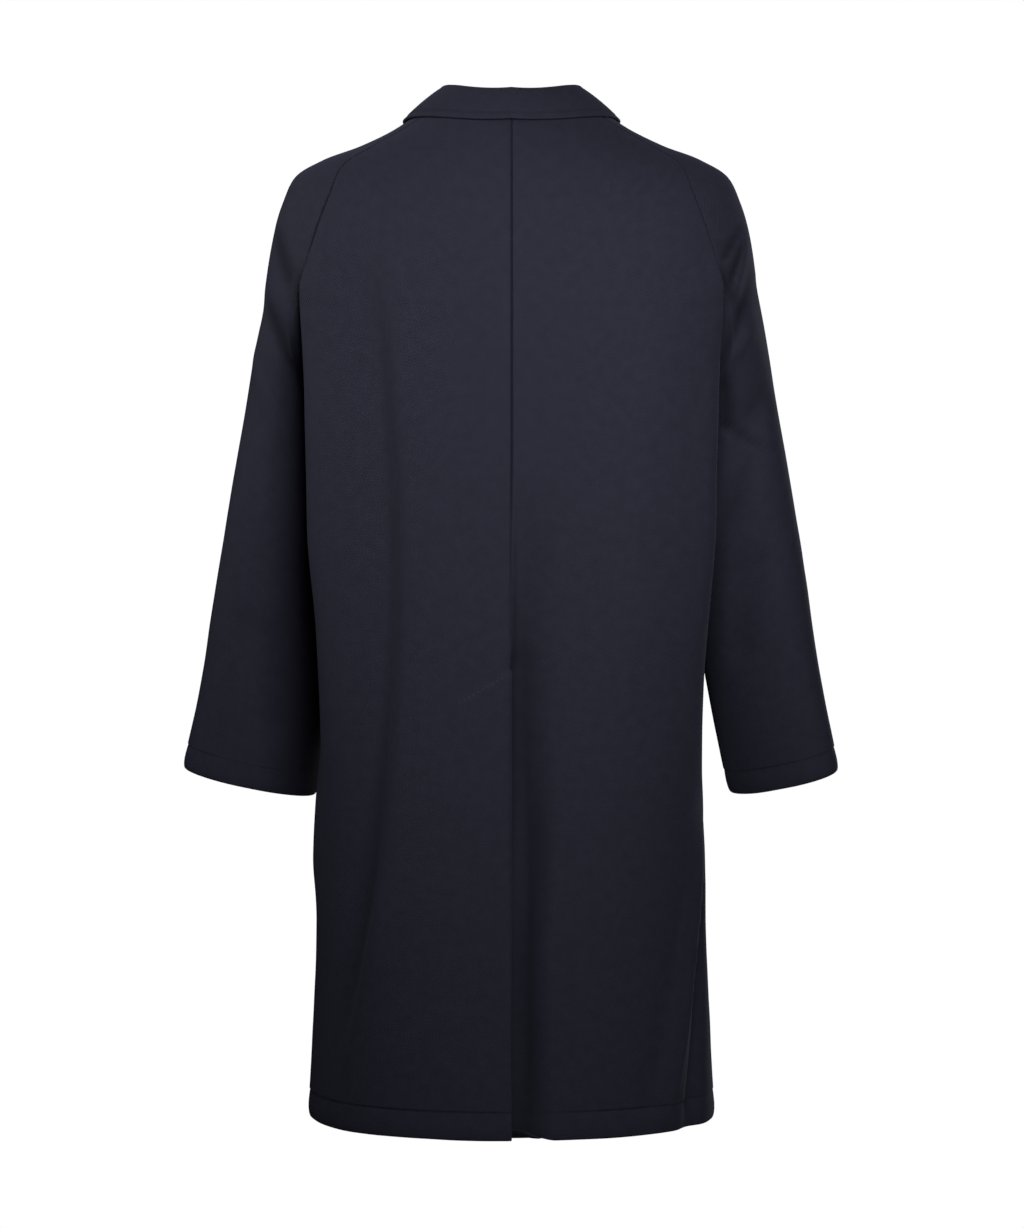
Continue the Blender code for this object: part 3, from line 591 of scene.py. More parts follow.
def sleeve_levels():
    """Section numbers of a sleeve's rows, closer at the cuff's crease and edge."""
    last = len(SLEEVE)
    run = math.dist((SLEEVE[-1].outer_x, SLEEVE[-1].mid_z), (SLEEVE[-2].outer_x, SLEEVE[-2].mid_z))
    marks = list(np.linspace(0.0, last, SLEEVE_MARKS)[1:]) + [last - step / run for step in EDGE_STEPS]
    marks += [last - (CUFF_BAND + side * step) / run for step in EDGE_STEPS[:2] for side in (-1, 1)]
    return np.unique(np.round(marks, 5))


TORSO_LEVELS, SLEEVE_LEVELS = torso_levels(), sleeve_levels()
body_rows = len(YOKE_LEVELS) + len(TORSO_LEVELS)
print(body_rows, "rows on the body,", len(SLEEVE_LEVELS), "on a sleeve below the armpit")


# %% Grids of the pieces
def armhole_arc(corner):
    """Lower armhole from an armpit corner to the underarm point: a quarter of an oval."""
    under = np.array(UNDERARM) * (math.copysign(1.0, corner[0]), 1.0, 1.0)
    t = UNDERARM_SHARES[:, None] * math.pi / 2
    level, down = 1.0 - np.cos(t), np.sin(t)
    return corner + (under - corner) * np.concatenate([level, level, down], axis=1)


def seam_angle(ring, side, front):
    return side * math.radians(180.0 - ring.seam_front if front else ring.seam_back)


def lofted_grid(yoke, lower, arc_lower, levels, from_corner, sideways):
    """Rows from the neckline down; beyond the armpit corner the columns start at the armhole.

    Near the corner the columns set out sideways, so that sleeve and body draw apart there.
    """
    start = spline_speed(yoke)[1][-1]
    start[:, 0] += sideways * ease(1.0 - from_corner / PARTING_CELLS)
    main = np.concatenate([loft(yoke, YOKE_LEVELS), loft(np.concatenate([yoke[-1:], lower]), levels, start)])
    arc = np.concatenate([armhole_arc(yoke[-1, -1])[None], arc_lower])
    arc_start = spline_speed(arc)[1][0]
    arc_start[:, 0] += sideways
    under = loft(arc, np.append(0.0, levels), arc_start)[:, 1:]
    nothing = np.full((ARMPIT_ROW,) + under.shape[1:], np.nan)
    return np.concatenate([main, np.concatenate([nothing, under])], axis=1)


def beyond(ring, centre, direction, width, places):
    """Angles that carry a ring on past a centre line, from the far end back to it."""
    side_y = getattr(ring, "side_y", 0.0)
    reach = abs((ring.back_y if centre == 0.0 else ring.front_y) - side_y)
    return centre + direction * math.atan2(width, reach) * places[::-1]


def body_grid(side, front):
    """Half of the back or front, from past its centre line to the side seam."""
    centre = side * math.pi if front else 0.0
    places, cells = (FRONT_SHARES, FRONT_CELLS) if front else (BACK_SHARES, BACK_CELLS)
    corner = math.radians(180.0 - TORSO_CORNER_FRONT if front else TORSO_CORNER_BACK)

    def angles(ring, edge):
        run = centre + (edge - centre) * places
        if front:
            return np.concatenate([beyond(ring, centre, side, LAP, LAP_SHARES), run])
        if side < 0:
            return np.concatenate([beyond(ring, centre, -side, VENT_UNDERLAP, VENT_SHARES), run])
        return run

    upper = np.array([yoke_ring(r, angles(r, seam_angle(r, side, front))) for r in YOKE])
    lower = np.array([torso_ring(r, angles(r, side * corner)) for r in TORSO])
    under = side * (corner + (math.radians(SIDE_SEAM) - corner) * UNDERARM_SHARES)
    arc_lower = np.array([torso_ring(r, under) for r in TORSO])
    extra = upper.shape[1] - len(places)
    from_corner = np.concatenate([np.full(extra, 2.0 * cells), (1.0 - places) * cells])
    return lofted_grid(upper, lower, arc_lower, TORSO_LEVELS, from_corner, -side * PARTING), extra


def sleeve_grid(side, front):
    """Front or back half of a sleeve, from its crest to the underarm seam."""
    sign = -1.0 if front else 1.0
    crest, corner = side * math.pi / 2, sign * math.radians(SLEEVE_CORNER)
    upper = np.array([yoke_ring(r, crest + (seam_angle(r, side, front) - crest) * CAP_SHARES) for r in YOKE])
    lower = np.array([sleeve_ring(r, corner * CAP_SHARES, side) for r in SLEEVE])
    under = corner + (sign * math.pi - corner) * UNDERARM_SHARES
    arc_lower = np.array([sleeve_ring(r, under, side) for r in SLEEVE])
    return lofted_grid(upper, lower, arc_lower, SLEEVE_LEVELS, (1.0 - CAP_SHARES) * CAP_CELLS, side * PARTING)


print("left back grid", body_grid(1, False)[0].shape, "left sleeve grid", sleeve_grid(1, False).shape)

# %% [markdown]
# ## Folds
#
# A coat on a general figure hangs from the shoulders and folds where it has too much width. A cloth
# simulation would make folds of its own; these have to be the ones of this coat. So each one is a row
# in a table: where it starts and ends, how it bends on the way, how wide it is before and after its line,
# and how deep. A trough with a ridge close beside it gives one steep side, as hanging cloth often has.
# The folds are those of the solids. The creases are narrower and belong to the cloth alone: they sharpen
# the folds and wrinkle the sleeves' caps.

# %% Tables of the folds
FOLD_FADE = 0.25
Fold = namedtuple("Fold", "top_z bottom_z top_angle mid_angle bottom_angle before after depth")
BODY_FOLDS = (
    Fold(-0.030, -1.010, 57.0, 45.0, 71.5, 0.027, 0.040, -0.0095),
    Fold(-0.050, -1.010, 43.5, 32.0, 58.5, 0.055, 0.027, 0.0100),
    Fold(-0.340, -0.820, -3.0, -3.5, -4.0, 0.030, 0.008, -0.0095),
    Fold(-0.660, -1.060, -87.0, -73.5, -58.0, 0.014, 0.018, -0.0085),
    Fold(-0.660, -1.060, -77.0, -63.5, -48.0, 0.012, 0.022, 0.0025),
    Fold(-0.540, -0.800, 92.0, 92.0, 92.0, 0.035, 0.035, 0.0050),
    Fold(-0.200, -0.700, -30.0, -24.0, -22.0, 0.020, 0.030, -0.0025),
    Fold(-0.150, -0.620, -48.0, -42.0, -40.0, 0.026, 0.020, 0.0022),
    Fold(-0.300, -0.900, 140.0, 145.0, 138.0, 0.020, 0.036, -0.0070),
    Fold(-0.450, -1.020, -142.0, -146.0, -150.0, 0.036, 0.020, -0.0090),
    Fold(-0.600, -1.020, 118.0, 114.0, 110.0, 0.024, 0.032, -0.0070),
)
SleeveFold = namedtuple("SleeveFold", "side top_z bottom_z top_turn bottom_turn before after depth")
SLEEVE_FOLDS = (
    SleeveFold(1, -0.170, -0.330, 66.0, 130.0, 0.018, 0.018, -0.0070),
    SleeveFold(1, -0.480, -0.640, 70.0, 125.0, 0.022, 0.022, -0.0050),
    SleeveFold(1, -0.330, -0.460, 300.0, 240.0, 0.020, 0.020, -0.0060),
    SleeveFold(-1, -0.150, -0.275, 74.0, 114.0, 0.014, 0.014, -0.0050),
    SleeveFold(-1, -0.260, -0.430, 62.0, 125.0, 0.018, 0.018, -0.0080),
    SleeveFold(-1, -0.420, -0.560, 80.0, 130.0, 0.020, 0.020, -0.0050),
    SleeveFold(-1, -0.330, -0.460, 295.0, 240.0, 0.020, 0.020, -0.0060),
)
BODY_CREASES = (
    Fold(-0.080, -1.000, 54.0, 41.5, 69.0, 0.016, 0.022, -0.0045),
    Fold(-0.080, -1.000, 46.5, 33.5, 61.0, 0.022, 0.016, 0.0045),
    Fold(-0.420, -1.060, -1.0, -1.0, -1.0, 0.012, 0.004, -0.0040),
    Fold(-0.680, -1.010, -75.0, -65.0, -48.0, 0.004, 0.012, 0.0030),
    Fold(-0.680, -1.010, -84.0, -74.0, -57.0, 0.010, 0.005, -0.0040),
    Fold(-0.700, -1.010, -66.0, -55.0, -40.0, 0.008, 0.016, -0.0020),
    Fold(-0.120, -0.520, 66.0, 65.0, 66.0, 0.022, 0.010, 0.0040),
    Fold(-0.120, -0.520, -66.0, -65.0, -66.0, 0.010, 0.022, 0.0040),
)
SLEEVE_CREASES = (
    SleeveFold(1, -0.105, -0.205, 82.0, 102.0, 0.007, 0.007, -0.0045),
    SleeveFold(1, -0.175, -0.280, 73.0, 109.0, 0.008, 0.008, -0.0045),
    SleeveFold(1, -0.220, -0.340, 46.0, 98.0, 0.010, 0.010, 0.0025),
    SleeveFold(-1, -0.105, -0.170, 86.0, 105.0, 0.005, 0.005, -0.0040),
    SleeveFold(-1, -0.110, -0.195, 87.0, 105.0, 0.004, 0.004, 0.0030),
    SleeveFold(-1, -0.120, -0.210, 85.0, 104.0, 0.006, 0.006, -0.0055),
    SleeveFold(-1, -0.110, -0.230, 81.0, 103.0, 0.005, 0.005, 0.0055),
    SleeveFold(-1, -0.150, -0.250, 80.0, 102.0, 0.007, 0.007, -0.0040),
    SleeveFold(-1, -0.210, -0.270, 76.0, 110.0, 0.008, 0.008, 0.0030),
    SleeveFold(-1, -0.235, -0.320, 103.0, 98.0, 0.008, 0.009, -0.0035),
    SleeveFold(-1, -0.295, -0.335, 125.0, 60.0, 0.010, 0.010, -0.0025),
)
body_folds, sleeve_folds = BODY_FOLDS + BODY_CREASES, SLEEVE_FOLDS + SLEEVE_CREASES
print(len(body_folds), "folds on the body,", len(sleeve_folds), "on the sleeves")


# %% Fold the grids
def fold_push(fold, across, down):
    """Height of one fold at a distance across it and a share of its length."""
    reach = across / np.where(across < 0.0, fold.before, fold.after)
    fade = ease(down / FOLD_FADE) * ease((1.0 - down) / FOLD_FADE)
    return fold.depth * fade * np.exp(-(reach**2))


def run_along(points):
    """Distance of each point along a line of points from its first one."""
    return np.concatenate([[0.0], np.cumsum(np.linalg.norm(np.diff(points, axis=0), axis=1))])


def above_edge(grid):
    """Distance of each point above the lower edge of a grid, along its column."""
    steps = np.linalg.norm(np.diff(grid, axis=0), axis=-1)
    return np.concatenate([np.cumsum(steps[::-1], axis=0)[::-1], np.zeros((1, grid.shape[1]))])


def hem_roll(grid):
    """How far the lower edge of a grid rolls in, as a turned hem or cuff does."""
    turn = np.clip(1.0 - above_edge(grid) / HEM_ROLL_HEIGHT, 0.0, 1.0)
    return -HEM_ROLL_IN * (1.0 - np.sqrt(1.0 - turn**2))


def turned_by(angle, path):
    """Angle left from a path, in radians between half a turn either way."""
    return np.radians((angle - path + 180.0) % 360.0 - 180.0)


def fold_body(points, folds):
    angle = np.degrees(np.arctan2(points[..., 0], points[..., 1]))
    radius = np.hypot(points[..., 0], points[..., 1])
    push = hem_roll(points)
    for fold in folds:
        down = (fold.top_z - points[..., 2]) / (fold.top_z - fold.bottom_z)
        path = fold.top_angle * (1 - down) * (1 - 2 * down) + 4 * fold.mid_angle * down * (1 - down)
        path = path + fold.bottom_angle * down * (2 * down - 1)
        push += fold_push(fold, radius * turned_by(angle, path), down)
    outward = points * (1.0, 1.0, 0.0) / radius[..., None]
    return points + outward * push[..., None]


def sleeve_push(points, side, folds):
    """How far the folds push each point of a sleeve out, and which way that is."""
    falls = [-ring.mid_z for ring in SLEEVE]
    middle_x = np.interp(-points[..., 2], falls, [sleeve_width(ring, side)[0] for ring in SLEEVE])
    middle_y = np.interp(-points[..., 2], falls, [ring.mid_y for ring in SLEEVE])
    out, back = side * points[..., 0] - middle_x, points[..., 1] - middle_y
    turn = np.degrees(np.arctan2(back, out))
    radius = np.hypot(out, back)
    push = np.zeros(radius.shape)
    for fold in folds:
        if fold.side == side:
            down = (fold.top_z - points[..., 2]) / (fold.top_z - fold.bottom_z)
            path = fold.top_turn + (fold.bottom_turn - fold.top_turn) * np.clip(down, 0.0, 1.0)
            push += fold_push(fold, radius * turned_by(turn, path), down)
    return push, np.stack([side * out, back, np.zeros_like(out)], axis=-1) / radius[..., None]


deepest = min(BODY_FOLDS, key=lambda fold: fold.depth)
print(f"deepest fold {-deepest.depth * 1000:.0f} mm")

# %% [markdown]
# ## A piece of cloth
#
# Each piece is a grid of outer points. From it come the normals, the place of every point on the flat
# cloth, and a closed shell with a soft rim. A Solidify modifier would give the thickness too, but the
# rim would be square; here a middle row on the rim stands out a little, as a turned edge does.

# %% Cloth class
CLOTH = 0.0018
RIM_BULGE = 0.0005


class Cloth:
    """One cut piece: its grid of outer points, with gaps, and which way round its faces run."""

    def __init__(self, name, grid, base, turned):
        """base is the column from which the flat cloth is measured."""
        self.name, self.grid = name, grid
        self.found = ~np.isnan(grid[..., 0])
        k = np.full(self.found.shape, -1)
        k[self.found] = np.arange(self.found.sum())
        cells = np.stack([k[:-1, :-1], k[:-1, 1:], k[1:, 1:], k[1:, :-1]], axis=-1).reshape(-1, 4)
        cells = cells[(cells >= 0).all(axis=1)]
        self.cells = cells[:, ::-1] if turned else cells
        steps = np.nan_to_num(np.linalg.norm(np.diff(grid, axis=1), axis=-1))
        across = np.concatenate([np.zeros((len(grid), 1)), np.cumsum(steps, axis=1)], axis=1)
        self.across = across - across[:, base : base + 1]
        self.down = run_along(grid[:, base])
        # How much the colour is painted darker: on seam lines, and as painted shade.
        self.seam_lines_and_shade = np.zeros(self.found.shape)

    def faces(self):
        """A vector for each face: it points outwards and is twice as long as the face's area."""
        corners = self.grid[self.found][self.cells]
        return np.cross(corners[:, 2] - corners[:, 0], corners[:, 3] - corners[:, 1])

    def normals(self):
        """Unit outward normals on the grid."""
        faces, total = self.faces(), np.zeros((self.found.sum(), 3))
        for corner in range(4):
            np.add.at(total, self.cells[:, corner], faces)
        normals = np.full_like(self.grid, np.nan)
        normals[self.found] = unit(total)
        return normals

    def push(self, amount):
        """Moves the cloth out along its normals."""
        self.grid = self.grid + self.normals() * np.broadcast_to(amount, self.found.shape)[..., None]

    def beside(self, column, rows):
        """Distance along the cloth from a column, in these rows only."""
        gap = np.full(self.found.shape, np.inf)
        gap[rows] = np.abs(self.across - self.across[:, column : column + 1])[rows]
        return gap

    def below(self, row, columns):
        """Distance along the cloth below a row, in these columns only."""
        gap = np.full(self.found.shape, np.inf)
        steps = np.linalg.norm(np.diff(self.grid[row:, columns], axis=0), axis=-1)
        gap[row, columns] = 0.0
        gap[row + 1 :, columns] = np.cumsum(steps, axis=0)
        return gap

    def press(self, gap, width, strength):
        """Darkens the colour by the distance from a line: along a seam line, or as painted shade."""
        self.seam_lines_and_shade = np.maximum(self.seam_lines_and_shade, strength * np.exp(-((gap / width) ** 2)))

    def edges(self):
        """Pairs of points on the rim: the edges that only one face uses."""
        ends = np.concatenate([self.cells[:, [k, (k + 1) % 4]] for k in range(4)])
        code = ends.min(axis=1) * (self.cells.max() + 1) + ends.max(axis=1)
        _, first, uses = np.unique(code, return_index=True, return_counts=True)
        return ends[first[uses == 1]]

    def area(self):
        return float(np.linalg.norm(self.faces(), axis=1).sum() / 2)


print("cloth", CLOTH * 1000, "mm thick")


# %% Shells
def shell(cloth, thickness, material):
    """Closed thin shell of a piece of cloth, with a soft rim and its two maps."""
    outer = cloth.grid[cloth.found]
    normals = cloth.normals()[cloth.found]
    inner = outer - normals * thickness
    edges = cloth.edges()
    a, b = edges[:, 0], edges[:, 1]
    away = np.zeros_like(outer)
    for end in (a, b):
        np.add.at(away, end, unit(np.cross(outer[b] - outer[a], normals[end])))
    count, rim = len(outer), np.unique(edges)
    rim_index = np.full(count, -1)
    rim_index[rim] = 2 * count + np.arange(len(rim))
    middle = (outer[rim] + inner[rim]) / 2 + unit(away[rim]) * RIM_BULGE
    faces = [cloth.cells, count + cloth.cells[:, ::-1]]
    faces.append(np.stack([b, a, rim_index[a], rim_index[b]], axis=1))
    faces.append(np.stack([rim_index[b], rim_index[a], count + a, count + b], axis=1))
    mesh = bpy.data.meshes.new(cloth.name)
    mesh.from_pydata(np.concatenate([outer, inner, middle]).tolist(), [], np.concatenate(faces).tolist())
    down = np.broadcast_to(-cloth.down[:, None], cloth.found.shape)
    flat = np.stack([cloth.across, down], axis=-1)[cloth.found]
    add_map(mesh, "cloth", np.concatenate([flat, flat, flat[rim]]))
    seam_lines_and_shade = np.stack([cloth.seam_lines_and_shade, np.zeros_like(cloth.seam_lines_and_shade)], axis=-1)[cloth.found]
    add_map(mesh, "seam_lines_and_shade", np.concatenate([seam_lines_and_shade, seam_lines_and_shade, seam_lines_and_shade[rim]]))
    mesh.materials.append(material)
    mesh.shade_smooth()
    return add_piece(cloth.name + "_cloth", mesh)


def add_map(mesh, name, places):
    """Stores two values for each point, such as its place on the flat cloth in metres, as a named map."""
    corner_points = np.empty(len(mesh.loops), dtype=np.int32)
    mesh.loops.foreach_get("vertex_index", corner_points)
    layer = mesh.uv_layers.new(name=name)
    layer.uv.foreach_set("vector", places[corner_points].astype(np.float32).ravel())


def add_piece(name, mesh):
    piece = add_object(name, mesh)
    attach(piece, "root")
    return piece


print("shell maker ready")

# %% [markdown]
# ## What sewing and pressing do to the cloth, and where shade is painted
#
# A seam pulls the cloth down on both sides into a narrow furrow. A turned-up hem leaves a soft line
# where its upper edge is caught from inside: a sharp step in, and a slow return below it. The colour is
# painted darker along seam lines, and as painted shade where cloth lies deep in a gap; each piece keeps
# a map of that. Pressed wool is never quite flat, so a slow waviness runs over everything.

# %% Furrows, hems and waviness
FURROW_WIDTH, SEAM_LINE_WIDTH = 0.0011, 0.0010
MIDDLE_SEAM, RAGLAN_SEAM, SIDE_SEAM_DIP = 0.0020, 0.0006, 0.0008
# How much darker the colour is painted along seam lines, and as painted shade under the arms and by the vent.
SEAM_DARK, RAGLAN_DARK, ARMHOLE_DARK, VENT_DARK, STITCH_DARK = 0.4, 0.6, 0.7, 0.65, 0.3
CREASE_DEPTH, CREASE_EDGE, CREASE_RUN = 0.0010, 0.0007, 0.007
# Widths of the painted shade under the arms and beside the vent, and where the vent's shade starts and grows.
ARMHOLE_SHADE, VENT_SHADE, VENT_SHADE_TOP, VENT_SHADE_RUN = 0.012, 0.024, -0.40, 0.22
LEAST_SHOWN = 0.2
WAVES = ((0.085, 0.0009), (0.032, 0.00022))


def furrow(cloth, gap, depth, darkness):
    """Dip beside a seam, by the distance from it; the colour along the seam line is painted darker."""
    cloth.press(gap, SEAM_LINE_WIDTH, darkness)
    return -depth * np.exp(-((gap / FURROW_WIDTH) ** 2))


def crease(below):
    """Sharp step in along a sewn line, and a slow return below it, by the distance below the line."""
    fade = np.exp(-np.clip(below, 0.0, None) / CREASE_RUN)
    return -CREASE_DEPTH * ease(below / CREASE_EDGE + 0.5) * fade


def slow_noise(points, length):
    return np.array([noise.noise(Vector(point) / length) for point in points])


def waviness(points):
    """Slow unevenness of pressed wool, the same on both sides of a seam."""
    return sum(height * slow_noise(points, length) for length, height in WAVES)


def on_grid(cloth, make, *values):
    """Values of a function of the points, laid out on the grid."""
    field = np.zeros(cloth.found.shape)
    field[cloth.found] = make(cloth.grid[cloth.found], *values)
    return field


def unevenness(cloth, length, most):
    """How clearly a sewn line shows from place to place, in patches of about this length."""
    return LEAST_SHOWN + most * np.clip(0.5 + on_grid(cloth, slow_noise, length), 0.0, 1.0)


print("furrow of the middle seam", MIDDLE_SEAM * 1000, "mm deep")

# %% [markdown]
# ## Backs
#
# The back is cut in two, with a seam down its middle. Below the hips the seam ends and the vent begins:
# the left back lies over an underlap that the right back carries. The underlap's top edge is slanted and
# caught to the left back by a row of small stitches, which shows as a slanted ridge.

# %% The vent
VENT_RIDGE, VENT_RIDGE_WIDTH, VENT_RIDGE_REACH = 0.0019, 0.0022, 0.056
RIDGE_TAIL, RIDGE_DIP, RIDGE_DIP_ABOVE, RIDGE_DIP_WIDTH = 22.0, 0.45, 2.2, 3.0
RIDGE_START, RIDGE_LEAD, RIDGE_END = 0.0015, 0.4, 0.012


def open_vent(grid, extra):
    """Slants the top of the underlap and takes away what would lie above it."""
    underlap = grid[:, :extra]
    above = grid[:, extra, 2] > VENT_TOP_Z + ROW_STEP / 4
    slant = VENT_SLOPE * ease((underlap[..., 2] - VENT_TOP_Z + VENT_SETTLES) / VENT_SETTLES)
    underlap[..., 2] -= slant * underlap[..., 0]
    underlap[above] = np.nan
    return grid


def vent_ridge(x, z):
    """The underlap's slanted top, pressed through the left back."""
    under = (VENT_TOP_Z - VENT_SLOPE * x - z) / VENT_RIDGE_WIDTH
    step = ease((under + 1.0) / 2.0) * np.exp(-np.clip(under, 0.0, None) / RIDGE_TAIL)
    dip = -RIDGE_DIP * np.exp(-((under + RIDGE_DIP_ABOVE) ** 2) / RIDGE_DIP_WIDTH)
    along = ease((VENT_RIDGE_REACH - x) / RIDGE_END) * ease(x / RIDGE_START + RIDGE_LEAD)
    return VENT_RIDGE * (step + dip) * along


print("ridge at the vent's top", VENT_RIDGE * 1000, "mm high")

# %% Relief of a back or front
HEM_PATCH, HEM_SHOWN = 0.07, 1.3


def body_relief(cloth, extra, side, front):
    """Seam furrows, hem and waviness of a back or front, with painted shade under the arm and by the vent."""
    rows = np.arange(len(cloth.grid))
    seam_column = extra + len(FRONT_SHARES if front else BACK_SHARES) - 1
    side_seam = cloth.beside(cloth.grid.shape[1] - 1, rows > ARMPIT_ROW)
    push = furrow(cloth, cloth.beside(seam_column, rows <= ARMPIT_ROW), RAGLAN_SEAM, RAGLAN_DARK)
    push += furrow(cloth, side_seam, SIDE_SEAM_DIP, SEAM_DARK)
    # Painted shade where the sleeve turns in under the arm.
    cloth.press(cloth.below(ARMPIT_ROW, slice(seam_column, None)), ARMHOLE_SHADE, ARMHOLE_DARK)
    if not front:
        middle_seam = cloth.beside(extra, cloth.grid[:, extra, 2] > VENT_TOP_Z)
        push += furrow(cloth, middle_seam, MIDDLE_SEAM, SEAM_DARK)
    # Painted shadow of the left back on the right back's underlap beside the vent, growing downwards.
    if not front and side < 0:
        deepens = ease((VENT_SHADE_TOP - cloth.grid[:, extra : extra + 1, 2]) / VENT_SHADE_RUN)
        cloth.press(cloth.beside(extra, rows >= 0), VENT_SHADE, VENT_DARK * deepens)
    push += unevenness(cloth, HEM_PATCH, HEM_SHOWN) * crease(HEM_Z + HEM_BAND - cloth.grid[..., 2])
    push += on_grid(cloth, waviness)
    if not front and side > 0:
        push += vent_ridge(cloth.grid[..., 0], cloth.grid[..., 2])
    cloth.push(push)


print("hem caught", HEM_BAND * 1000, "mm above its edge")


# %% Make the backs
def body_cloth(side, front):
    """A back or front with its folds, its overlap and its relief."""
    grid, extra = body_grid(side, front)
    name = ("front_" if front else "back_") + ("left" if side > 0 else "right")
    turned = (side > 0) == front
    cloth = Cloth(name, fold_body(grid, body_folds), extra, turned)
    x, z = cloth.grid[..., 0], cloth.grid[..., 2]
    if front:
        cloth.push(side * LAP_LIFT * ease((LAP + LAP_FADE - side * x) / LAP_FADE))
    elif side < 0:
        below = ease((VENT_TOP_Z + VENT_EASE - z) / VENT_EASE)
        sink = ease((VENT_TOP_Z - z) / VENT_SINK_RUN)
        near = ease((x + VENT_FADE) / VENT_FADE)
        cloth.push(-(VENT_DROP * below + VENT_SINK * sink) * near)
        cloth.grid[..., 2] -= VENT_HANG * sink * near
        cloth = Cloth(name, open_vent(cloth.grid, extra), extra, turned)
    body_relief(cloth, extra, side, front)
    return cloth


pieces = {}


def keep(cloth):
    """Puts a finished piece of cloth on the list."""
    pieces[cloth.name] = cloth
    print(cloth.name, cloth.grid.shape, f"{cloth.area():.3f} m2")


for side in (1, -1):
    keep(body_cloth(side, False))

# %% [markdown]
# ## Fronts
#
# The fronts are not seen from behind, so they are finished plainly, with only what a coat must have:
# the left front laps over the right one, and both run past the middle by the width of the lap.

# %% Make the fronts
for side in (1, -1):
    keep(body_cloth(side, True))

# %% [markdown]
# ## Sleeves
#
# Each sleeve has a back and a front half. One seam runs along its crest from the neckline over the
# shoulder to the cuff, and one runs under the arm. Together with the raglan seams they give four
# furrows on a sleeve, all made by the same rule as on the body. The creases start flat at the armhole,
# where the seam holds the cloth, and their troughs are painted darker, as shade. Under the arm the cloth
# is painted darker too, as shade, and where it turns in sharply, the grid is rounded off.

# %% Round the underarm
ROUND_ROWS, ROUND_COLUMNS, ROUND_PASSES, ROUND_SHARE = 14, 5.0, 40, 0.5


def from_armhole(grid):
    """Distances of a sleeve's points: across it from the raglan seam, and down it from the armpit."""
    cap = len(CAP_SHARES) - 1
    steps = np.linalg.norm(np.diff(grid[:, : cap + 1], axis=1), axis=-1)
    across = np.zeros(grid.shape[:2])
    across[:, :cap] = np.cumsum(steps[:, ::-1], axis=1)[:, ::-1]
    return across, ROW_STEP * (np.arange(len(grid)) - ARMPIT_ROW)[:, None]


def round_underarm(grid):
    """Rounds the sleeve off where it turns in under the arm, by moving points towards their neighbours."""
    first, last = ARMPIT_ROW + 1, ARMPIT_ROW + 1 + ROUND_ROWS
    from_corner = np.abs(np.arange(grid.shape[1]) - len(CAP_SHARES) + 1)[1:-1]
    weight = np.linspace(ROUND_SHARE, 0.0, ROUND_ROWS)[:, None]
    weight = weight * np.exp(-((from_corner / ROUND_COLUMNS) ** 2))
    for _ in range(ROUND_PASSES):
        middle = grid[first - 1 : last - 1, 1:-1] + grid[first + 1 : last + 1, 1:-1]
        middle = (middle + grid[first:last, :-2] + grid[first:last, 2:]) / 4
        grid[first:last, 1:-1] += weight[..., None] * (middle - grid[first:last, 1:-1])
    return grid


print(ROUND_ROWS, "rows below the armpit are rounded")

# %% Make the sleeves
# CREASE_SHADE is painted shade in the creases' troughs, full at a depth of CREASE_FULL.
CREASE_START, CREASE_START_BELOW, CREASE_SHADE, CREASE_FULL = 0.018, 0.2, 0.60, 0.004
CUFF_PATCH, CUFF_SHOWN = 0.05, 1.0


def sleeve_relief(cloth):
    """Seam furrows, cuff and waviness of half a sleeve."""
    rows = np.arange(len(cloth.grid))
    raglan_seam = cloth.beside(len(CAP_SHARES) - 1, rows <= ARMPIT_ROW)
    under_seam = cloth.beside(cloth.grid.shape[1] - 1, rows > ARMPIT_ROW)
    push = furrow(cloth, cloth.beside(0, rows >= 0), RAGLAN_SEAM, SEAM_DARK)
    push += furrow(cloth, raglan_seam, RAGLAN_SEAM, RAGLAN_DARK)
    push += furrow(cloth, under_seam, SIDE_SEAM_DIP, SEAM_DARK)
    above = np.broadcast_to((cloth.down[-1] - cloth.down)[:, None], cloth.found.shape)
    push += unevenness(cloth, CUFF_PATCH, CUFF_SHOWN) * crease(CUFF_BAND - above)
    cloth.push(push + on_grid(cloth, waviness))


def sleeve_cloth(side, front):
    """Half a sleeve with its folds, its creases and its relief."""
    grid = sleeve_grid(side, front)
    below = slice(ARMPIT_ROW + 1, None)
    push, outward = sleeve_push(grid[below], side, SLEEVE_FOLDS)
    grid[below] += outward * (push + hem_roll(grid[below]))[..., None]
    across, down = from_armhole(grid)
    push, outward = sleeve_push(grid, side, SLEEVE_CREASES)
    push = push * ease((across + CREASE_START_BELOW * np.clip(down, 0.0, None)) / CREASE_START)
    name = f"sleeve_{'front' if front else 'back'}_{'left' if side > 0 else 'right'}"
    cloth = Cloth(name, round_underarm(grid + outward * push[..., None]), 0, front != (side > 0))
    # Painted shade in the creases' troughs and under the arm.
    cloth.seam_lines_and_shade = CREASE_SHADE * np.clip(-push / CREASE_FULL, 0.0, 1.0)
    cloth.press(np.hypot(across, down), ARMHOLE_SHADE, ARMHOLE_DARK)
    sleeve_relief(cloth)
    return cloth


for side in (1, -1):
    for front in (False, True):
        keep(sleeve_cloth(side, front))

# %% [markdown]
# ## Collar
#
# The collar stands up from the neckline, rolls over and falls back to the yoke. It is drawn as sections
# round the neck, each a stand, a roll and a fall, and its edge lies just over the cloth. A row of
# stitches runs along the edge, and the cloth dips under it.

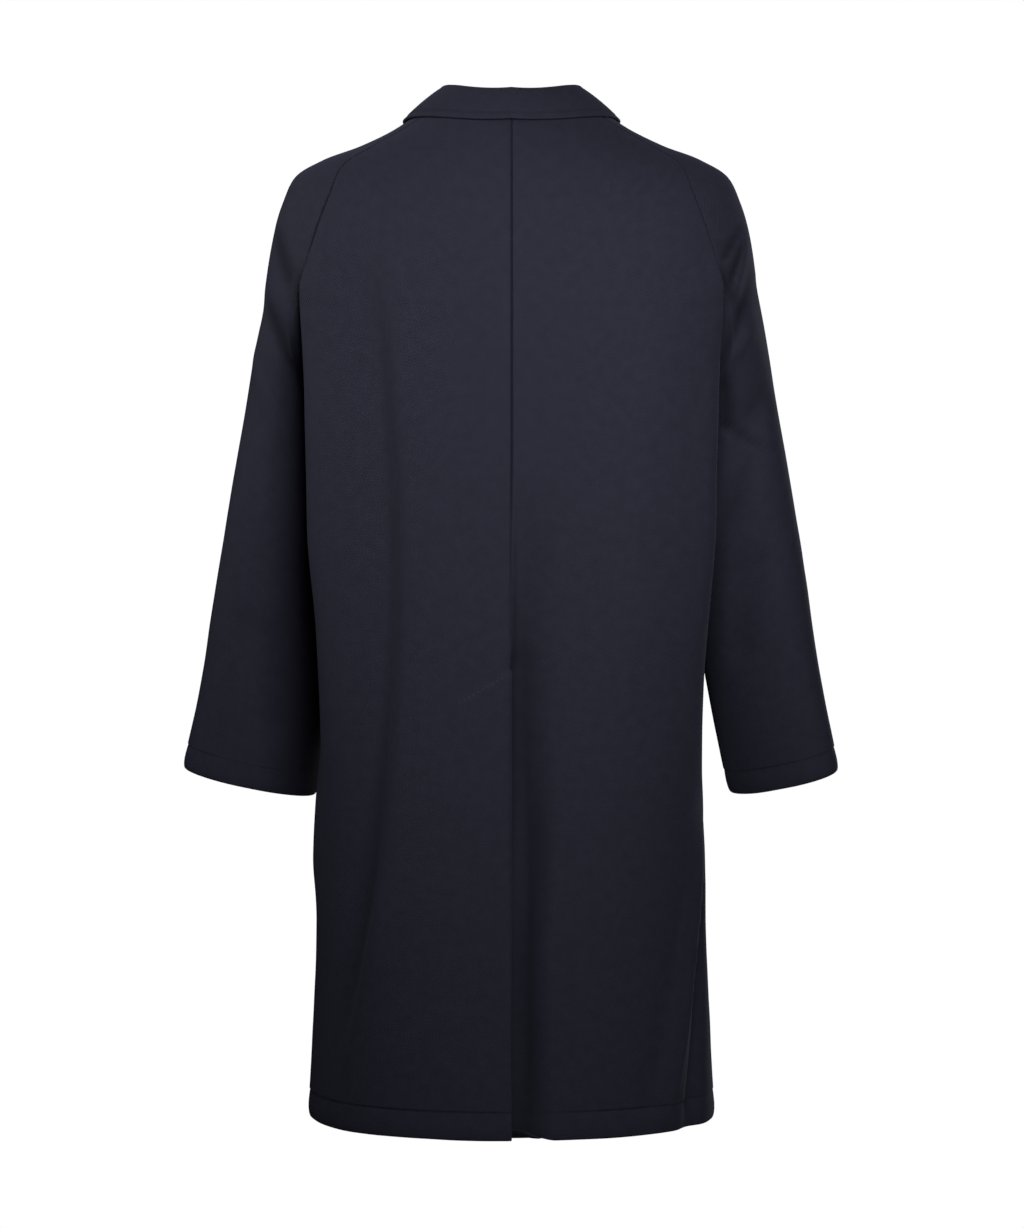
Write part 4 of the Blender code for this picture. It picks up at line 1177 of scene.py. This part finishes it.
# %% Collar sections
COLLAR_CLOTH, COLLAR_ROLL, COLLAR_ROLL_TURN = 0.0024, 0.0034, 150.0
COLLAR_SEAM_GAP, COLLAR_SEAM_SINK, COLLAR_OPENING = 0.0011, 0.001, 0.007
COLLAR_STAND_CURVE, COLLAR_FALL_CURVE, COLLAR_FALL_BULGE = 0.45, 0.45, 0.003
COLLAR_COLUMNS, STAND_CELLS, ROLL_CELLS = 181, 9, 9
CollarSection = namedtuple("CollarSection", "share stand lean cover lift spread")
COLLAR = (
    CollarSection(0.00, 0.0200, 0.0090, 0.0160, 0.0022, 0.0),
    CollarSection(0.25, 0.0150, 0.0115, 0.0245, 0.0018, 0.0),
    CollarSection(0.50, 0.0085, 0.0140, 0.0345, 0.0014, 0.0),
    CollarSection(0.75, 0.0125, 0.0080, 0.0375, 0.0030, 3.0),
    CollarSection(1.00, 0.0130, 0.0030, 0.0540, 0.0062, 24.0),
)
FALL_SHARES = shares(20, crowd_start=False)
FRAME_LEVELS = np.linspace(0.0, 4.0, 81)


def bezier(start, control, end, places):
    t = places[:, None]
    return (1 - t) ** 2 * start + 2 * t * (1 - t) * control + t * t * end


def yoke_frame(angle, distance):
    """Point, outward normal and downhill direction on the yoke, a distance below the neckline."""
    beside = 0.01
    columns = np.array([yoke_ring(ring, np.array([angle - beside, angle, angle + beside])) for ring in YOKE])
    middle = loft(columns, FRAME_LEVELS)[:, 1]
    level = float(np.interp(distance, run_along(middle), FRAME_LEVELS))
    here, next_row = loft(columns, [level, level + beside])
    downhill = unit(next_row[1] - here[1])
    return here[1], unit(np.cross(here[2] - here[0], downhill)), downhill


def collar_section(turn):
    """Outer side of the collar at a turn from -1, right centre front, to 1, left centre front."""
    share, side = abs(turn), math.copysign(1.0, turn)
    known = [row.share for row in COLLAR]
    here = CollarSection(*(float(np.interp(share, known, column)) for column in zip(*COLLAR)))
    seam, normal, downhill = yoke_frame(side * math.pi * share, 0.0)
    outward, up = unit(normal * (1.0, 1.0, 0.0)), np.array((0.0, 0.0, 1.0))
    base = seam - normal * COLLAR_SEAM_SINK - downhill * COLLAR_SEAM_GAP
    top = base - outward * here.lean + up * here.stand
    control = base - downhill * here.stand * COLLAR_STAND_CURVE
    stand = bezier(base, control, top, np.linspace(0.0, 1.0, STAND_CELLS + 1))
    around = np.linspace(0.0, math.radians(COLLAR_ROLL_TURN), ROLL_CELLS + 1)[1:, None]
    roll = top + COLLAR_ROLL * (outward * (1.0 - np.cos(around)) + up * np.sin(around))
    under, edge_normal, _ = yoke_frame(side * (math.pi * share - math.radians(here.spread)), here.cover)
    edge = under + edge_normal * (here.lift + COLLAR_CLOTH / 2)
    crown = roll[-1] + COLLAR_FALL_CURVE * (edge - roll[-1]) + COLLAR_FALL_BULGE * unit(outward + up)
    return np.concatenate([stand, roll, bezier(roll[-1], crown, edge, FALL_SHARES)[1:]])


print(len(collar_section(0.0)), "points in a section of the collar")

# %% Make the collar
STITCH_INSET, COLLAR_CREASE, COLLAR_WAVES = 0.0062, 0.6, 0.5
reach = 1.0 - COLLAR_OPENING
turns = np.linspace(-reach, reach, COLLAR_COLUMNS)
collar_grid = np.array([collar_section(turn) for turn in turns]).transpose(1, 0, 2)
collar = Cloth("collar", collar_grid, COLLAR_COLUMNS // 2, False)
collar.push(COLLAR_CLOTH / 2)
from_edge = above_edge(collar.grid)
# The colour is painted darker along the stitch line.
collar.press(np.abs(STITCH_INSET - from_edge), SEAM_LINE_WIDTH, STITCH_DARK)
collar.push(COLLAR_CREASE * crease(STITCH_INSET - from_edge) + COLLAR_WAVES * on_grid(collar, waviness))
keep(collar)

# %% [markdown]
# ## Sewn shells
#
# Now every piece becomes a shell with its thickness and stands for its solid, which is hidden.


def solids_of(name):
    """Nodes of one cut piece; a long one is parted into bands that carry its name."""
    return sorted(node for node in frame["nodes"] if node == name or node.startswith(name + "_"))


shown = {}
for name, cloth in pieces.items():
    thickness = COLLAR_CLOTH if name == "collar" else CLOTH
    piece = shell(cloth, thickness, WOOL)
    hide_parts(*solids_of(name))
    shown[name] = piece
    print(piece.name, len(piece.data.polygons), "faces")

# %% [markdown]
# ## Stitches
#
# A stitch is a short bridge of thread: it leaves the cloth, lies on it and goes in again. Each is a
# six-sided tube that rises in the middle and sinks at both ends. A row of them is one mesh.

# %% Stitch maker
STITCH_RINGS, STITCH_SIDES = 5, 6
STITCH_RISE, STITCH_SINK, STITCH_ENDS = 1.1, 0.75, 0.45


def stitches(name, starts, ends, normals, radius, material=THREAD):
    """One mesh of thread bridges from starts to ends, lying on the cloth."""
    t = np.linspace(0.0, 1.0, STITCH_RINGS)
    rise = np.sin(math.pi * t)
    sideways = unit(np.cross(normals, unit(ends - starts)))
    middle = starts[:, None] + (ends - starts)[:, None] * t[None, :, None]
    middle = middle + normals[:, None] * (radius * (STITCH_RISE * rise - STITCH_SINK))[None, :, None]
    angle = np.linspace(0.0, math.tau, STITCH_SIDES, endpoint=False)[None, :, None]
    ring = normals[:, None] * np.sin(angle) + sideways[:, None] * np.cos(angle)
    thick = radius * (STITCH_ENDS + (1.0 - STITCH_ENDS) * rise)
    points = middle[:, :, None] + ring[:, None] * thick[None, :, None, None]
    base = np.arange(STITCH_RINGS * STITCH_SIDES).reshape(STITCH_RINGS, STITCH_SIDES)
    turned = np.roll(base, -1, axis=1)
    walls = np.stack([base[:-1], turned[:-1], turned[1:], base[1:]], axis=-1).reshape(-1, 4)
    offsets = np.arange(len(starts)) * base.size
    faces = (offsets[:, None, None] + walls).reshape(-1, 4).tolist()
    faces += (offsets[:, None] + base[0][::-1]).tolist() + (offsets[:, None] + base[-1]).tolist()
    mesh = bpy.data.meshes.new(name)
    mesh.from_pydata(points.reshape(-1, 3).tolist(), [], faces)
    length = np.linalg.norm(ends - starts, axis=1)[:, None, None] * t[None, :, None]
    places = np.stack(np.broadcast_arrays(length, radius * angle[..., 0]), axis=-1)
    add_map(mesh, "cloth", places.reshape(-1, 2))
    mesh.materials.append(material)
    mesh.shade_smooth()
    piece = add_piece(name, mesh)
    return piece


print("each stitch has", STITCH_RINGS * STITCH_SIDES, "points")

# %% Rows of stitches
Stitch = namedtuple("Stitch", "length pitch radius")


def sample(values, rows, columns):
    """Values of a grid at fractional rows and columns."""
    r0 = np.clip(np.floor(rows).astype(int), 0, values.shape[0] - 2)
    c0 = np.clip(np.floor(columns).astype(int), 0, values.shape[1] - 2)
    r, c = (rows - r0)[:, None], (columns - c0)[:, None]
    top = values[r0, c0] * (1 - c) + values[r0, c0 + 1] * c
    bottom = values[r0 + 1, c0] * (1 - c) + values[r0 + 1, c0 + 1] * c
    return top * (1 - r) + bottom * r


def lie_on(cloth, rows, columns):
    """Points and normals of a cloth at fractional rows and columns."""
    return sample(cloth.grid, rows, columns), sample(cloth.normals(), rows, columns)


def stitch_along(name, cloth, rows, columns, stitch, material):
    """A row of stitches along a path on the cloth."""
    path, normals = lie_on(cloth, rows, columns)
    run = run_along(path)
    starts = np.arange(0.0, run[-1] - stitch.length, stitch.pitch)

    def at(values, places):
        return np.stack([np.interp(places, run, values[:, k]) for k in range(3)], axis=1)

    ends = at(path, starts + stitch.length)
    middle_normals = unit(at(normals, starts + stitch.length / 2))
    piece = stitches(name, at(path, starts), ends, middle_normals, stitch.radius, material)
    print(name, len(piece.data.polygons), "faces")
    return piece


print("rows of stitches ready")

# %% Stitch the collar's edge
COLLAR_STITCH = Stitch(0.0032, 0.0039, 0.00032)
EDGE_POINTS, RISE_POINTS = 400, 40


def collar_stitch_path():
    """Rows and columns of a line that runs inside the collar's edge, up one front and down the other."""
    row_numbers, column_numbers = np.arange(len(from_edge)), np.arange(COLLAR_COLUMNS)
    inset_rows = [np.interp(-STITCH_INSET, -column, row_numbers) for column in from_edge.T]
    first = float(np.interp(STITCH_INSET, run_along(collar.grid[-1]), column_numbers))
    last = COLLAR_COLUMNS - 1 - first
    along = np.linspace(first, last, EDGE_POINTS)
    rows = np.interp(along, column_numbers, inset_rows)
    rise = np.linspace(STAND_CELLS + ROLL_CELLS, rows[0], RISE_POINTS)
    rows = np.concatenate([rise, rows, rise[::-1]])
    return rows, np.concatenate([np.full(RISE_POINTS, first), along, np.full(RISE_POINTS, last)])


collar_stitches = stitch_along("collar_stitches", collar, *collar_stitch_path(), COLLAR_STITCH, THREAD)

# %% Catch the underlap
PICK_STITCH = Stitch(0.0022, 0.0052, 0.00036)
PICK_START, PICK_SHORT, PICK_BELOW, PICK_POINTS = 0.004, 0.003, 0.0012, 60
back_left = pieces["back_left"]


def on_back(x, z):
    """Fractional rows and columns of the left back at these places, seen from behind."""
    rows, columns = [], []
    grid = back_left.grid
    for px, pz in zip(x, z):
        row = np.interp(-pz, -grid[:, 0, 2], np.arange(len(grid)))
        line = grid[int(round(row)), : len(BACK_SHARES), 0]
        rows.append(row)
        columns.append(np.interp(px, line, np.arange(len(line))))
    return np.array(rows), np.array(columns)


slant_x = np.linspace(PICK_START, VENT_RIDGE_REACH - PICK_SHORT, PICK_POINTS)
slant = on_back(slant_x, VENT_TOP_Z - VENT_SLOPE * slant_x - PICK_BELOW)
vent_stitches = stitch_along("vent_stitches", back_left, *slant, PICK_STITCH, PICK_THREAD)

# %% [markdown]
# ## Buttons
#
# The front closes with turned horn buttons: a rim, a shallow dish and four holes through which the
# thread crosses. The outline is spun round its axis, and the holes are cut by a Boolean modifier, so
# that they are real holes. Each button lies over the end of a buttonhole with bound edges.

# %% Make a button
BUTTON_RADIUS, BUTTON_THICKNESS, BUTTON_SIDES, BUTTON_SHARP = 0.0125, 0.0042, 64, 40.0
BUTTON_TOP_Z, BUTTON_PITCH, BUTTON_COUNT = -0.125, 0.145, 4
HOLE_RADIUS, HOLE_PLACE, HOLE_SIDES = 0.00105, 0.0022, 16
BUTTON_OUTLINE = (
    (0.00, 0.00), (0.70, 0.00), (0.86, 0.07), (0.97, 0.30), (1.00, 0.55), (0.985, 0.78), (0.94, 0.93),
    (0.88, 1.00), (0.81, 0.97), (0.75, 0.88), (0.69, 0.77), (0.60, 0.70), (0.40, 0.66), (0.00, 0.65),
)


def spun(outline, sides, scale):
    """An outline of radius and height, spun round the Z axis."""
    shape = bmesh.new()
    line = [shape.verts.new((r * scale[0], 0.0, h * scale[1])) for r, h in outline]
    edges = [shape.edges.new(pair) for pair in zip(line[:-1], line[1:])]
    bmesh.ops.spin(
        shape, geom=line + edges, cent=(0, 0, 0), axis=(0, 0, 1), angle=math.tau, steps=sides, use_merge=True
    )
    bmesh.ops.remove_doubles(shape, verts=shape.verts, dist=1e-6)
    bmesh.ops.recalc_face_normals(shape, faces=shape.faces)
    return to_mesh("spun", shape)


def button_mesh():
    """A button with four holes cut through it."""
    size = (BUTTON_RADIUS, BUTTON_THICKNESS)
    blank = add_object("blank", spun(BUTTON_OUTLINE, BUTTON_SIDES, size))
    drills = bmesh.new()
    for x in (-HOLE_PLACE, HOLE_PLACE):
        for y in (-HOLE_PLACE, HOLE_PLACE):
            made = bmesh.ops.create_cone(
                drills, cap_ends=True, segments=HOLE_SIDES, radius1=HOLE_RADIUS, radius2=HOLE_RADIUS,
                depth=4 * BUTTON_THICKNESS,
            )
            bmesh.ops.translate(drills, verts=made["verts"], vec=(x, y, 0.0))
    drill = add_object("drills", to_mesh("drills", drills))
    cut = blank.modifiers.new("holes", "BOOLEAN")
    cut.object, cut.operation, cut.solver = drill, "DIFFERENCE", "EXACT"
    mesh = bpy.data.meshes.new_from_object(blank.evaluated_get(bpy.context.evaluated_depsgraph_get()))
    for thing in (blank, drill):
        bpy.data.objects.remove(thing)
    mesh.materials.clear()
    mesh.materials.append(HORN)
    mesh.shade_smooth()
    mesh.set_sharp_from_angle(angle=math.radians(BUTTON_SHARP))
    return mesh


BUTTON = button_mesh()
print("button", len(BUTTON.polygons), "faces")

# %% Sew the buttons on
BUTTON_GAP, BUTTON_THREAD, THREAD_HEIGHT = 0.0006, 0.00055, 0.70
front_left = pieces["front_left"]
middle_column = len(LAP_SHARES)
middle_front = front_left.grid[:, middle_column]


def front_place(k):
    """Row on the left front's middle line of one button."""
    z = BUTTON_TOP_Z - k * BUTTON_PITCH
    return float(np.interp(-z, -middle_front[:, 2], np.arange(len(middle_front))))


def cross_threads(number, place, turn):
    """Two crossing threads through a button's holes."""
    corners = np.array([(-1, -1, 0), (1, 1, 0), (-1, 1, 0), (1, -1, 0)]) * HOLE_PLACE
    corners[:, 2] = BUTTON_THICKNESS * THREAD_HEIGHT
    spots = np.array([place + turn @ Vector(c) for c in corners])
    out = np.array([turn @ Vector((0, 0, 1))] * 2)
    return stitches(f"button_{number}_thread", spots[0::2], spots[1::2], out, BUTTON_THREAD)


for k in range(BUTTON_COUNT):
    spots, normals = lie_on(front_left, np.array([front_place(k)]), np.array([float(middle_column)]))
    out = Vector(normals[0]).normalized()
    turn = out.to_track_quat("Z", "Y")
    button = add_object(f"button_{k + 1}_turned", BUTTON.copy())
    button.rotation_mode = "QUATERNION"
    button.rotation_quaternion = turn
    button.location = Vector(spots[0]) + out * BUTTON_GAP
    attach(button, "root")
    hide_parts(f"button_{k + 1}")
    cross_threads(k + 1, button.location, turn)
    print(button.name, [round(c, 3) for c in button.location])

# %% [markdown]
# A buttonhole is a slit whose edges are bound by thread, one stitch close beside the next. Each starts
# just past the button towards the front edge and runs inwards, so its inner end shows beside the button.

# %% Bind the buttonholes
HOLE_START, HOLE_END, SLIT_HALF = -0.004, 0.026, 0.0003
BIND_PITCH, BIND_WIDTH, BIND_RADIUS = 0.0009, 0.0021, 0.00045
FAN_ANGLE, FAN_COUNT = 1.3, 9


def bound_hole(number, row):
    """Binding stitches on both sides of a slit and fanned round its inner end."""
    column_numbers = np.arange(front_left.grid.shape[1])
    line = sample(front_left.across[..., None], np.full(len(column_numbers), row), column_numbers)[:, 0]
    fall = front_left.down[int(row) + 1] - front_left.down[int(row)]
    inner, outer = [], []
    for s in np.arange(HOLE_START, HOLE_END, BIND_PITCH):
        for way in (-1.0, 1.0):
            inner.append((s, way * SLIT_HALF))
            outer.append((s, way * BIND_WIDTH))
    for a in np.linspace(-FAN_ANGLE, FAN_ANGLE, FAN_COUNT):
        inner.append((HOLE_END, 0.0))
        outer.append((HOLE_END + BIND_WIDTH * math.cos(a), BIND_WIDTH * math.sin(a)))

    def lie(spots):
        across, below = np.array(spots).T
        return lie_on(front_left, row + below / fall, np.interp(across, line, column_numbers))

    starts, normals = lie(inner)
    return stitches(f"buttonhole_{number}", starts, lie(outer)[0], unit(normals), BIND_RADIUS)


buttonholes = [bound_hole(k + 1, front_place(k)) for k in range(BUTTON_COUNT)]
print(len(buttonholes), "buttonholes")

# %% [markdown]
# ## The area of each sheet
#
# The areas are those of the finished pieces along the cloth.

for name, piece in shown.items():
    area = round(pieces[name].area(), 4)
